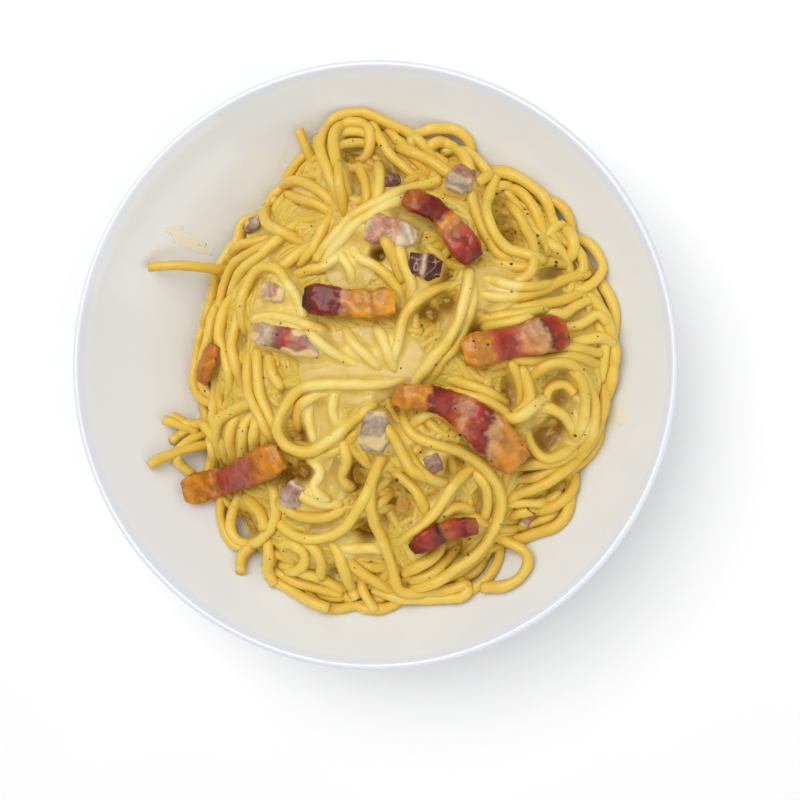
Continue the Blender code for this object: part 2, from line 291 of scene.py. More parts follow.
@dataclass(frozen=True)
class CuredMeat:
    """Bacon or ham whose lean, fat, crust and painted shade come from colours that the mesh carries."""

    name: str
    roughness: float
    gloss: float
    grain: float

    def build(self) -> bpy.types.Material:
        """The meat's own colours with fine grain and a greasy shine."""
        graph = Graph(self.name)
        colour = graph.attribute("meat", "Color")
        fine = graph.clouds(1500.0, 5.0, 0.65)
        coarse = graph.clouds(420.0, 3.0, 0.6)
        colour = graph.blend(fine.span(0.3, 0.75, 0.0, self.grain), colour, rgb(0.12, 0.02, 0.01), "MULTIPLY")
        rough = coarse.span(0.3, 0.7, self.roughness - 0.08, self.roughness + 0.12)
        relief = graph.bump(coarse + fine * 0.4, 0.25, 0.0005)
        return graph.dress({"Base Color": colour, "Roughness": rough, "Normal": relief},
                           IOR=1.33, Coat_Weight=self.gloss, Coat_Roughness=0.08, Subsurface_Weight=0.18,
                           Subsurface_Radius=(1.0, 0.35, 0.15), Subsurface_Scale=0.0014)


@dataclass(frozen=True)
class TwoTone:
    """A plain material that drifts between two colours."""

    name: str
    first: tuple
    second: tuple
    scale: float
    detail: float
    edges: Point
    roughness: float

    def build(self) -> bpy.types.Material:
        """The two colours in soft patches."""
        graph = Graph(self.name)
        patch = graph.clouds(self.scale, self.detail)
        colour = graph.blend(patch.span(*self.edges), self.first, self.second)
        return graph.dress({"Base Color": colour}, Roughness=self.roughness)


GROUND_PEPPER = TwoTone("ground_pepper", rgb(0.012, 0.009, 0.006), rgb(0.07, 0.045, 0.02), 2500.0, 2.0,
                        (0.35, 0.65), 0.6)
WALL_FILM = TwoTone("thin_sauce_film", rgb(0.82, 0.80, 0.71), rgb(0.83, 0.79, 0.62), 700.0, 3.0,
                    (0.35, 0.65), 0.3)
PALE_FLOOR = TwoTone("pale_floor", rgb(0.92, 0.92, 0.925), rgb(0.94, 0.94, 0.945), 6.0, 2.0, (0.3, 0.7), 0.7)


# ------------------------------------------------------------------ mesh helpers


def deselect() -> None:
    """Leave object mode with nothing selected."""
    if bpy.context.mode != "OBJECT":
        bpy.ops.object.mode_set(mode="OBJECT")
    bpy.ops.object.select_all(action="DESELECT")


def activate(piece: bpy.types.Object) -> None:
    """Select one object alone."""
    deselect()
    piece.select_set(True)
    bpy.context.view_layer.objects.active = piece


def edit_all() -> None:
    """Enter edit mode with everything selected."""
    bpy.ops.object.mode_set(mode="EDIT")
    bpy.ops.mesh.select_all(action="SELECT")


def close_up() -> None:
    """Turn every face outward and leave edit mode."""
    bpy.ops.mesh.normals_make_consistent(inside=False)
    bpy.ops.object.mode_set(mode="OBJECT")


def apply_modifiers(piece: bpy.types.Object) -> None:
    """Apply every modifier of a piece, in order."""
    activate(piece)
    for modifier in list(piece.modifiers):
        bpy.ops.object.modifier_apply(modifier=modifier.name)


def settle(piece: bpy.types.Object) -> None:
    """Move a piece's place into its mesh."""
    activate(piece)
    bpy.ops.object.transform_apply(location=True, rotation=True, scale=True)


def coordinates(piece: bpy.types.Object) -> np.ndarray:
    """A mesh's points in millimetres, one row each."""
    values = np.empty(len(piece.data.vertices) * 3)
    piece.data.vertices.foreach_get("co", values)
    return values.reshape(-1, 3) / MM


def set_coordinates(piece: bpy.types.Object, points: np.ndarray) -> None:
    """Write a mesh's points, given in millimetres."""
    piece.data.vertices.foreach_set("co", (points * MM).ravel())
    piece.data.update()


def normals(piece: bpy.types.Object) -> np.ndarray:
    """A mesh's point normals."""
    values = np.empty(len(piece.data.vertices) * 3)
    piece.data.vertices.foreach_get("normal", values)
    return values.reshape(-1, 3)


def carry(piece: bpy.types.Object, name: str, values: np.ndarray) -> None:
    """Store one value or colour for each point.

    Args:
        piece: The mesh object.
        name: The attribute's name.
        values: One number for each point, or four for a colour.
    """
    kind, key = ("FLOAT", "value") if values.ndim == 1 else ("FLOAT_COLOR", "color")
    attribute = piece.data.attributes.new(name, kind, "POINT")
    attribute.data.foreach_set(key, values.astype(np.float32).ravel())


def clouds_at(points: np.ndarray, size: float, seed: float = 0.0) -> np.ndarray:
    """Soft noise from -1 to 1 with features of that size.

    Args:
        points: Places in millimetres.
        size: Feature size in millimetres.
        seed: Shifts the pattern.

    Returns:
        One value for each place.
    """
    shift = np.array([seed * 7.3, seed * 3.1, seed * 5.7])
    return np.array([noise.noise(point) for point in (points / size + shift).tolist()])


def smooth_route(points: Sequence[Sequence[float]], step: float) -> np.ndarray:
    """Points one step apart on a smooth curve through the given ones.

    Args:
        points: The curve's own points, in millimetres.
        step: Spacing of the result.

    Returns:
        One row for each point.
    """
    knots = np.asarray(points, float)
    knots = np.vstack([2 * knots[0] - knots[1], knots, 2 * knots[-1] - knots[-2]])
    dense = []
    for before, start, end, after in zip(knots, knots[1:], knots[2:], knots[3:]):
        for t in np.linspace(0.0, 1.0, 24, endpoint=False):
            square = (2 * before - 5 * start + 4 * end - after) * t**2
            cube = (3 * start - before - 3 * end + after) * t**3
            dense.append(0.5 * (2 * start + (end - before) * t + square + cube))
    dense.append(knots[-2])
    return even_route(np.array(dense), step)


def even_route(points: np.ndarray, step: float) -> np.ndarray:
    """The same line with its points one step apart.

    Args:
        points: One row for each point.
        step: Spacing of the result.

    Returns:
        One row for each point.
    """
    lengths = np.concatenate([[0.0], np.cumsum(np.linalg.norm(np.diff(points, axis=0), axis=1))])
    count = max(3, int(round(lengths[-1] / step)) + 1)
    places = np.linspace(0.0, lengths[-1], count)
    return np.column_stack([np.interp(places, lengths, points[:, axis]) for axis in range(points.shape[1])])


def register(piece: bpy.types.Object, slot: str, *nodes: str) -> bpy.types.Object:
    """Let a piece ride on the dish and hide the CAD nodes that it stands for.

    Args:
        piece: The finished piece.
        slot: Not used.
        nodes: CAD nodes that it replaces.

    Returns:
        The piece.
    """
    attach(piece, BODY)
    if nodes:
        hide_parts(*nodes)
    return piece


def dressed(piece: bpy.types.Object, finish: bpy.types.Material, slot: str, *nodes: str) -> bpy.types.Object:
    """Give a piece its only material and smooth shading, and register it.

    Args:
        piece: The finished piece.
        finish: Its material.
        slot: The record's material slot.
        nodes: CAD nodes that it replaces.

    Returns:
        The piece.
    """
    piece.data.materials.clear()
    piece.data.materials.append(finish)
    piece.data.shade_smooth()
    return register(piece, slot, *nodes)


def ramp(values: np.ndarray, start: float, width: float) -> np.ndarray:
    """Rise from 0 at start to 1 one width further on."""
    return np.clip((values - start) / width, 0.0, 1.0)


def joined(pieces: list[bpy.types.Object], name: str) -> bpy.types.Object:
    """One mesh of many small ones."""
    deselect()
    for piece in pieces:
        piece.select_set(True)
    bpy.context.view_layer.objects.active = pieces[0]
    bpy.ops.object.join()
    pieces[0].name = name
    return pieces[0]


# ------------------------------------------------------------------ how this dish lies, in mm


# Strands on top of the heap, from the lowest to the highest: x and y of points from one end to the other
SHOWN_STRANDS: dict[str, tuple[Point, ...]] = {
    "crown_low1": ((-13, 65), (-8, 68), (-2, 69), (4, 66)),
    "crown_low2": ((-12, 70), (-6, 73), (0, 72), (5, 69)),
    "edge_low1": ((60, 37), (65, 33), (66, 28), (62, 25)),
    "edge_low2": ((68, 17), (71, 10), (72, 2), (71, -6)),
    "foot_edge1": ((-33, -67), (-26, -71), (-19, -74), (-12, -76)),
    "foot_edge2": ((-35, -63), (-29, -66), (-22, -69), (-15, -71), (-9, -73)),
    "foot_edge3": ((-28, -63), (-21, -65), (-14, -68), (-8, -72)),
    "foot_right": ((1, -71), (9, -73), (19, -73), (28, -72), (31, -69), (27, -67)),
    "foot_mid": ((10, -65), (17, -67), (25, -66), (32, -61), (37, -56)),
    "foot_stub": ((-37, -57), (-41, -61), (-41, -66)),
    "foot_vert": ((-32, -54), (-31, -60), (-32, -65), (-30, -70)),
    "foot_curl": ((-28, -57), (-23, -56), (-19, -59), (-21, -64), (-26, -65)),
    "foot_down": ((-20, -54), (-16, -57), (-14, -61), (-15, -67)),
    "foot_block": ((-9, -57), (-4, -57), (2, -57), (6, -58)),
    "foot_slant": ((-7, -60), (-3, -64), (3, -68), (8, -71)),
    "foot_slant2": ((-12, -54), (-9, -58), (-7, -64), (-6, -69), (-4, -74)),
    "lower_left_edge": ((-50, -39), (-50, -46), (-48, -53), (-44, -58), (-38, -59)),
    "lower_left_loop": ((-43, -42), (-45, -47), (-45, -53), (-41, -57), (-35, -56), (-30, -51),
                        (-28, -45), (-29, -39), (-32, -35)),
    "lower_left_in": ((-40, -42), (-36, -45), (-33, -48), (-32, -52)),
    "left_bulge_out": ((-66, -25), (-61, -21), (-55, -20), (-51, -23), (-49, -27), (-49, -33)),
    "left_bulge_loop": ((-59, -36), (-63, -32), (-62, -27), (-57, -23), (-53, -25), (-52, -30),
                        (-53, -35)),
    "left_bulge_mid": ((-68, -18), (-62, -20), (-58, -22)),
    "left_bulge_top": ((-51, -10), (-51, -16), (-49, -22), (-47, -27), (-47, -32)),
    "left_edge": ((-52, 25), (-55, 17), (-58, 9), (-59, 2), (-60, -5), (-58, -10), (-52, -13)),
    "left_edge2": ((-49, 22), (-52, 15), (-53, 7), (-55, 0), (-55, -7), (-51, -11)),
    "left_v1": ((-44, 23), (-47, 17), (-48, 9), (-45, 1), (-44, -6), (-46, -12)),
    "left_v2": ((-40, 19), (-42, 13), (-43, 5), (-41, -2), (-39, -9)),
    "arch_v1": ((-43, -32), (-44, -25), (-42, -18), (-38, -15)),
    "arch_v2": ((-40, -32), (-39, -25), (-38, -19), (-35, -16)),
    "arch_v3": ((-36, -31), (-35, -24), (-34, -19), (-33, -16)),
    "arch_v4": ((-32, -26), (-30, -22), (-30, -17)),
    "arch": ((-48, -30), (-49, -24), (-47, -18), (-42, -15), (-37, -13), (-31, -12), (-27, -14)),
    "left_v3": ((-37, 6), (-37, -1), (-36, -9), (-33, -15), (-30, -21), (-28, -26)),
    "left_v4": ((-34, 4), (-33, -4), (-32, -10), (-29, -16), (-26, -22), (-22, -27)),
    "left_v5": ((-30, 2), (-28, -4), (-25, -8)),
    "upper_left_out": ((-53, 30), (-49, 36), (-45, 42), (-44, 47), (-40, 49), (-35, 51)),
    "upper_left_b": ((-54, 20), (-53, 28), (-50, 34), (-43, 38), (-37, 39), (-31, 41)),
    "upper_left_c": ((-50, 18), (-48, 26), (-44, 32), (-37, 35), (-30, 37), (-24, 39)),
    "upper_left_d": ((-46, 22), (-41, 29), (-34, 33), (-29, 37), (-24, 42), (-20, 46)),
    "upper_left_e": ((-30, 26), (-24, 31), (-19, 35), (-13, 37)),
    "upper_left_f": ((-21, 30), (-16, 35), (-13, 41), (-10, 46)),
    "upper_left_loop2": ((-39, 44), (-38, 48), (-34, 52), (-31, 54)),
    "upper_left_loop": ((-19, 37), (-25, 40), (-31, 43), (-34, 48), (-34, 53), (-30, 57), (-24, 58),
                        (-19, 56), (-13, 52), (-8, 47)),
    "upper_left_g": ((-27, 55), (-20, 51), (-15, 49), (-9, 45)),
    "crown_a": ((-17, 72), (-13, 63), (-10, 54), (-7, 46)),
    "crown_out": ((-6, 45), (-10, 56), (-14, 66), (-13, 74), (-9, 78), (-3, 79), (1, 78), (7, 75),
                  (13, 72), (18, 67), (23, 61)),
    "crown_in": ((-4, 48), (-7, 57), (-10, 67), (-9, 74), (-4, 76), (0, 74), (1, 69), (-1, 64),
                 (-4, 63)),
    "crown_r": ((13, 66), (15, 71), (20, 73), (26, 73), (30, 71), (32, 68), (31, 62)),
    "crown_r2": ((18, 66), (22, 69), (26, 68), (30, 64), (32, 58)),
    "crown_r3": ((23, 66), (27, 67), (32, 65), (36, 61), (39, 56)),
    "crown_d1": ((1, 77), (3, 72), (7, 65), (12, 60), (17, 55)),
    "crown_d2": ((6, 74), (10, 69), (15, 63), (21, 57)),
    "crown_d3": ((10, 67), (15, 64), (21, 61), (26, 57)),
    "crown_v1": ((-8, 61), (-7, 53), (-6, 45)),
    "crown_v2": ((-3, 62), (0, 55), (1, 48), (-2, 41)),
    "crown_v3": ((3, 63), (5, 55), (4, 47), (1, 42)),
    "right_edge": ((63, 39), (67, 37), (70, 34), (72, 29), (70, 25), (66, 22), (61, 21)),
    "right_edge2": ((67, 21), (71, 16), (73, 11), (75, 5), (75, 0), (74, -7), (72, -12)),
    "right_edge3": ((72, -6), (72, -13), (70, -20), (67, -26), (62, -31)),
    "right_low1": ((42, -48), (48, -46), (55, -45), (60, -42), (63, -38), (63, -34)),
    "right_low2": ((41, -43), (47, -43), (54, -43), (59, -40)),
    "right_low3": ((44, -36), (51, -35), (58, -32), (64, -28)),
    "right_low4": ((40, -44), (47, -40), (54, -37), (60, -33), (65, -29)),
    "right_low5": ((43, -32), (50, -31), (58, -30), (64, -27)),
    "right_hole1": ((48, -19), (50, -25), (54, -29), (59, -28), (64, -24)),
    "right_hole2": ((49, -17), (54, -14), (59, -16), (62, -20), (64, -25)),
    "right_s1": ((60, 10), (65, 11), (70, 14), (73, 11)),
    "right_s2": ((59, 4), (65, 6), (71, 7), (75, 5)),
    "right_a": ((53, 15), (59, 14), (64, 17), (69, 19)),
    "right_b": ((40, 17), (47, 16), (54, 17), (61, 19), (67, 22)),
    "right_c": ((33, 12), (40, 13), (48, 14), (55, 16)),
    "right_d": ((36, 10), (43, 11), (50, 13)),
    "right_e": ((32, 21), (39, 19), (46, 19), (53, 21), (61, 25), (68, 27)),
    "right_f": ((33, 25), (39, 24), (45, 22), (52, 22), (58, 24)),
    "right_g": ((55, 38), (59, 42), (62, 39), (63, 34), (61, 30)),
    "right_h": ((37, 30), (43, 29), (49, 28), (56, 30), (63, 29)),
    "right_i": ((32, 52), (34, 45), (37, 38), (41, 32), (46, 30)),
    "right_j": ((42, 51), (46, 46), (49, 40), (51, 35), (51, 29), (49, 25), (45, 23)),
    "right_out": ((34, 55), (40, 59), (45, 58), (50, 55), (55, 50), (57, 44), (59, 39)),
    "right_out2": ((37, 52), (42, 55), (47, 53), (51, 48), (53, 43), (55, 37)),
    "right_loop": ((40, 58), (38, 52), (37, 46), (39, 39), (43, 34), (48, 32), (54, 30)),
    "right_k": ((32, -1), (41, 2), (50, 3), (59, 4), (68, 3), (74, 2)),
    "right_l": ((35, -3), (44, 0), (53, 0), (62, 1), (71, -1)),
    "right_round": ((46, -12), (48, -8), (52, -3), (56, -1), (61, -1), (65, -4), (68, -10), (69, -16),
                    (68, -23), (64, -29)),
    "right_round2": ((62, -2), (65, -7), (66, -13), (65, -19), (62, -25)),
    "right_in": ((54, -12), (56, -8), (60, -7), (63, -10)),
    "right_m": ((44, 0), (46, -5), (47, -10), (46, -15)),
    "right_n": ((47, -2), (49, -7), (49, -12), (45, -16), (41, -18)),
    "right_o": ((39, -16), (45, -17), (50, -14), (54, -11)),
    "right_p": ((24, -5), (31, -7), (37, -9), (43, -13)),
    "right_q": ((23, -8), (30, -10), (37, -12), (43, -16)),
    "lower_right_c": ((32, -45), (27, -44), (23, -47), (20, -51)),
    "lower_right_d": ((28, -56), (24, -61), (19, -65), (13, -67)),
    "lower_right_e": ((23, -55), (21, -59), (16, -62), (11, -65)),
    "lower_right_f": ((32, -32), (36, -37), (37, -42), (36, -48)),
    "lower_right_g": ((12, -23), (14, -28), (18, -33), (23, -36), (28, -37)),
    "lower_right_h": ((7, -19), (10, -23), (12, -27), (15, -32), (20, -35)),
    "lower_right_i": ((9, -33), (14, -37), (17, -41), (19, -47)),
    "lower_right_j": ((15, -21), (16, -18), (21, -15), (26, -17), (27, -20)),
    "lower_right_strong": ((36, -30), (31, -33), (27, -37), (23, -43), (19, -48), (14, -52), (9, -56)),
    "lower_right_vert": ((6, -28), (3, -35), (2, -41), (3, -48), (6, -56), (8, -63), (10, -70),
                         (17, -71), (24, -70), (31, -68)),
    "great_arc": ((12, -13), (13, -19), (17, -23), (23, -25), (29, -27), (35, -31), (39, -36),
                  (41, -42), (40, -48), (37, -54), (33, -59), (27, -63), (21, -67), (13, -70)),
    "smile1": ((-28, -42), (-23, -45), (-18, -47), (-12, -47), (-7, -45), (-3, -42)),
    "smile2": ((-29, -49), (-24, -52), (-18, -54), (-11, -53), (-6, -50), (-2, -45), (1, -40),
               (3, -35)),
    "smile0": ((-19, -40), (-13, -43), (-7, -43)),
    "centre_a": ((-10, 41), (-8, 34), (-4, 28), (-3, 22)),
    "centre_b": ((-4, 38), (-2, 32), (3, 29), (7, 26), (11, 21), (12, 16)),
    "centre_c": ((7, 36), (10, 30), (12, 24)),
    "centre_d": ((11, 34), (13, 28), (15, 23), (14, 17)),
    "centre_e": ((-22, 27), (-17, 28), (-12, 29), (-7, 32)),
    "centre_f": ((4, 11), (6, 7), (8, 2), (10, -3)),
    "centre_g": ((-19, 12), (-14, 7), (-9, 3), (-4, 0), (1, -3)),
    "centre_h": ((-6, 11), (-3, 6), (1, 2), (6, -3)),
    "centre_i": ((-36, 13), (-30, 14), (-23, 13), (-17, 11), (-11, 9)),
    "inv_u": ((-39, 9), (-40, 17), (-38, 24), (-34, 29), (-28, 29), (-24, 25), (-20, 19), (-18, 13)),
    "leaf": ((9, -2), (11, 6), (13, 14), (18, 19), (23, 22), (29, 23)),
    "block_b": ((-16, -10), (-17, -17), (-15, -25)),
    "block_d": ((-8, -9), (-9, -15), (-7, -20)),
    "fold_a": ((-17, -29), (-13, -33), (-15, -38), (-11, -42)),
    "fold_c": ((-6, -24), (-5, -30), (-7, -35), (-4, -39)),
    "d_in": ((-8, -9), (-14, -10), (-19, -13), (-21, -17), (-21, -21)),
    "d_loop": ((15, -3), (11, -6), (4, -7), (-4, -7), (-12, -7), (-18, -8), (-22, -11), (-25, -16),
               (-26, -21), (-24, -25), (-20, -27), (-15, -27), (-10, -24), (-5, -20), (0, -16),
               (4, -13)),
    "diag2": ((33, 26), (33, 18), (31, 11), (28, 4), (23, -1), (19, -8)),
    "diag": ((32, 27), (31, 20), (29, 12), (26, 6), (21, 0), (17, -5), (13, -10)),
    "long_a": ((-15, 31), (-12, 35), (-8, 39), (-4, 43), (1, 46), (7, 49), (13, 52), (19, 54),
               (23, 56)),
    "long_b": ((-13, 29), (-10, 33), (-6, 37), (-2, 41), (3, 44), (8, 47), (14, 50), (20, 52)),
}

# How far the two ends of a strand sink, where they don't both sink 5 mm
FREE_ENDS: dict[str, tuple[float, float]] = {
    "foot_edge1": (2, 0), "foot_edge2": (4, 3), "foot_right": (4, 2), "foot_stub": (4, 0),
    "foot_vert": (5, 3), "foot_down": (5, 3), "foot_slant2": (5, 2), "left_bulge_mid": (0, 4),
    "crown_a": (1, 5), "right_s2": (5, 3), "lower_right_vert": (5, 3), "diag": (2, 5),
    "left_v4": (2, 5), "long_a": (4, 3),
}

# Loose strands over the bowl's wall: x, y and height above the wall
LOOSE_STRANDS: dict[str, tuple[tuple[float, float, float], ...]] = {
    "strand_left": ((-71.0, 31.4, 2.6), (-62.0, 31.6, 8.6), (-54.0, 31.3, 11.0), (-47.0, 30.6, 9.0)),
    "strand_lower_left": ((-70.6, -32.6, 2.6), (-66.2, -29.6, 4.2), (-59.0, -27.2, 6.2), (-52.0, -25.4, 6.4)),
    "strand_stub": ((-66.0, -16.6, 2.6), (-61.6, -19.2, 5.2), (-56.0, -19.0, 7.0), (-50.0, -16.4, 6.6)),
    "strand_upper_left": ((-22.2, 74.4, 2.6), (-19.6, 67.4, 6.4), (-15.6, 59.6, 8.6), (-11.0, 53.0, 9.0)),
    "strand_hook": ((35.0, -68.9, 2.6), (42.4, -67.6, 2.6), (48.0, -63.2, 2.6), (48.2, -58.2, 3.6),
                    (42.8, -55.2, 6.0), (35.6, -53.0, 7.6)),
    "strand_bottom": ((2.2, -77.0, 2.6), (-1.8, -71.4, 5.4), (-4.2, -63.4, 8.0)),
}

# Gaps between the loops that go deep into the heap, where real shadow and painted depth shade make it dark:
# x, y and radius
HOLLOWS: tuple[tuple[float, float, float], ...] = (
    (-19, 31, 2), (-48, 29, 2), (-4, 67, 3), (-3, 55, 2), (7, 59, 3), (6, 55, 2), (-41, 8, 2), (-38, -5, 1.5),
    (5, 32, 2), (41, 49, 2), (41, 44, 2), (43, 39, 2), (56, 27, 3), (66, 30, 2), (24, 26, 2), (20, 14, 2.5),
    (25, 18, 2), (-21, -13, 2), (-19, -22, 2), (-5, -33, 3), (-3, -36, 3), (11, -38, 3), (11, -44, 2.5),
    (1, -51, 2.5), (-13, -49, 2), (44, -8, 2.5), (45, -12, 2.5), (59, -9, 3), (62, -13, 3), (53, -23, 3),
    (56, -21, 2.5), (37, -40, 2), (36, -44, 2), (26, -57, 3), (25, -60, 2.5), (-40, -50, 2), (-38, -54, 2),
    (-55, -28, 2), (-55, -31, 2), (-33, -26, 1.5), (-23, -35, 2.5), (-16, -39, 2.5), (11, -13, 2), (34, 9, 2),
    (48, -33, 2), (55, -35, 2), (58, -40, 2), (-11, -66, 2), (30, -28, 2), (22, -30, 2), (-19, -33, 2),
    (55, 19, 2), (62, 14, 2),
)
HOLLOW_DEPTH = 5.5

# Places where sauce fills the gaps: x, y, half width, half depth and how full
CREAMY: tuple[tuple[float, float, float, float, float], ...] = (
    (0, -1, 22, 13, 0.88), (-4, 31, 9, 12, 0.92), (-12, -18, 8, 9, 0.85), (-11, -36, 8, 9, 0.85),
    (-25, 16, 13, 9, 0.8), (38, 22, 10, 8, 0.8), (58, -18, 12, 11, 0.65), (24, 16, 12, 12, 0.6),
    (12, 44, 12, 8, 0.7), (20, -12, 16, 10, 0.55), (-2, -57, 9, 5, 0.7), (30, -38, 12, 12, 0.4),
    (-33, -20, 12, 8, 0.35), (56, 8, 14, 8, 0.5),
)

# Films of sauce on the wall: x, y, half width, half depth and turn
SMEARS: tuple[tuple[float, float, float, float, float], ...] = (
    (-60.5, 40.5, 6.0, 2.4, -0.5), (-64.5, 44.0, 2.6, 1.3, 0.2), (75.5, -16.0, 2.6, 3.4, 0.3),
)

CREAM_ON_MEAT = (0.74, 0.54, 0.22)


def creaminess(places: np.ndarray) -> np.ndarray:
    """Share of sauce at places in the heap, from about 0.2 to 1."""
    share = np.full(len(places), 0.30)
    for x, y, wide, deep, full in CREAMY:
        away = ((places[:, 0] - x) / wide) ** 2 + ((places[:, 1] - y) / deep) ** 2
        share = np.maximum(share, full * np.clip(1.6 - away, 0.0, 1.0))
    return share


# ------------------------------------------------------------------ heights of the heap


@dataclass
class HeightField:
    """Heights over a square grid centred on the bowl's axis, in millimetres."""

    half: float = 92.0
    cell: float = 0.5
    values: np.ndarray = field(default_factory=lambda: np.zeros((0, 0)))

    def __post_init__(self) -> None:
        """Start flat where no values are given."""
        if not self.values.size:
            self.values = np.full((self.count, self.count), NOWHERE)

    @property
    def count(self) -> int:
        """Cells along one side."""
        return int(round(2 * self.half / self.cell)) + 1

    def copy(self) -> "HeightField":
        """A field with the same heights."""
        return HeightField(self.half, self.cell, self.values.copy())

    def axis(self) -> np.ndarray:
        """The place of each row or column."""
        return np.arange(self.count) * self.cell - self.half

    def places(self) -> np.ndarray:
        """Rows of x and y, one for each cell."""
        return np.stack(np.meshgrid(self.axis(), self.axis(), indexing="ij"), axis=-1).reshape(-1, 2)

    def sample(self, places: np.ndarray) -> np.ndarray:
        """Height at any place, between the cells.

        Args:
            places: Rows of x and y.

        Returns:
            One height for each row.
        """
        grid = np.clip((places[:, :2] + self.half) / self.cell, 0, self.count - 1.001)
        low = grid.astype(int)
        part = grid - low
        i, j = low[:, 0], low[:, 1]
        u, v = part[:, 0], part[:, 1]
        return (self.values[i, j] * (1 - u) * (1 - v) + self.values[i + 1, j] * u * (1 - v)
                + self.values[i, j + 1] * (1 - u) * v + self.values[i + 1, j + 1] * u * v)

    def _around(self, places: np.ndarray, radius: float) -> tuple[np.ndarray, np.ndarray, np.ndarray]:
        """Cells under a ball at each place.

        Args:
            places: Rows of x and y.
            radius: The ball's radius.

        Returns:
            Row numbers, column numbers, and the ball's height there above its middle.
        """
        reach = int(math.ceil(radius / self.cell))
        steps = np.arange(-reach, reach + 1)
        di, dj = (part.ravel() for part in np.meshgrid(steps, steps, indexing="ij"))
        near = np.round((places[:, :2] + self.half) / self.cell).astype(int)
        i = np.clip(near[:, :1] + di, 0, self.count - 1)
        j = np.clip(near[:, 1:2] + dj, 0, self.count - 1)
        dx = i * self.cell - self.half - places[:, :1]
        dy = j * self.cell - self.half - places[:, 1:2]
        rest = radius * radius - dx * dx - dy * dy
        rise = np.where(rest > 0.0, np.sqrt(np.maximum(rest, 0.0)), -1000.0)
        return i, j, rise

    def contact(self, places: np.ndarray, radius: float) -> np.ndarray:
        """Lowest height at which the middle of a ball rests on the field.

        Args:
            places: Rows of x and y.
            radius: The ball's radius.

        Returns:
            One height for each row.
        """
        i, j, rise = self._around(places, radius)
        return (self.values[i, j] + rise).max(axis=1)

    def press(self, path: np.ndarray, radius: float) -> None:
        """Raise the field to the top of a round strand.

        Args:
            path: The strand's middle line, rows of x, y and z.
            radius: The strand's radius.
        """
        fine = even_route(path, self.cell * 0.8)
        i, j, rise = self._around(fine, radius)
        np.maximum.at(self.values, (i, j), fine[:, 2:3] + rise)

    def closed(self, radius: float) -> np.ndarray:
        """The surface that a ball of that radius rolls on when it stays above the field."""
        grown = HeightField(values=-self.rolled(radius))
        return -grown.rolled(radius)

    def rolled(self, radius: float) -> np.ndarray:
        """Raise every height by a ball's reach around it."""
        reach = int(radius / self.cell)
        values = self.values
        result = values.copy()
        for di in range(-reach, reach + 1):
            for dj in range(-reach, reach + 1):
                rest = radius * radius - (di * di + dj * dj) * self.cell * self.cell
                if rest >= 0.0:
                    moved = np.roll(np.roll(values, di, 0), dj, 1) + math.sqrt(rest) - radius
                    result = np.maximum(result, moved)
        return result


def blurred(values: np.ndarray, passes: int) -> np.ndarray:
    """Average each cell with its neighbours, several times over."""
    for _ in range(passes):
        for axis in (0, 1):
            values = 0.25 * np.roll(values, 1, axis) + 0.5 * values + 0.25 * np.roll(values, -1, axis)
    return values


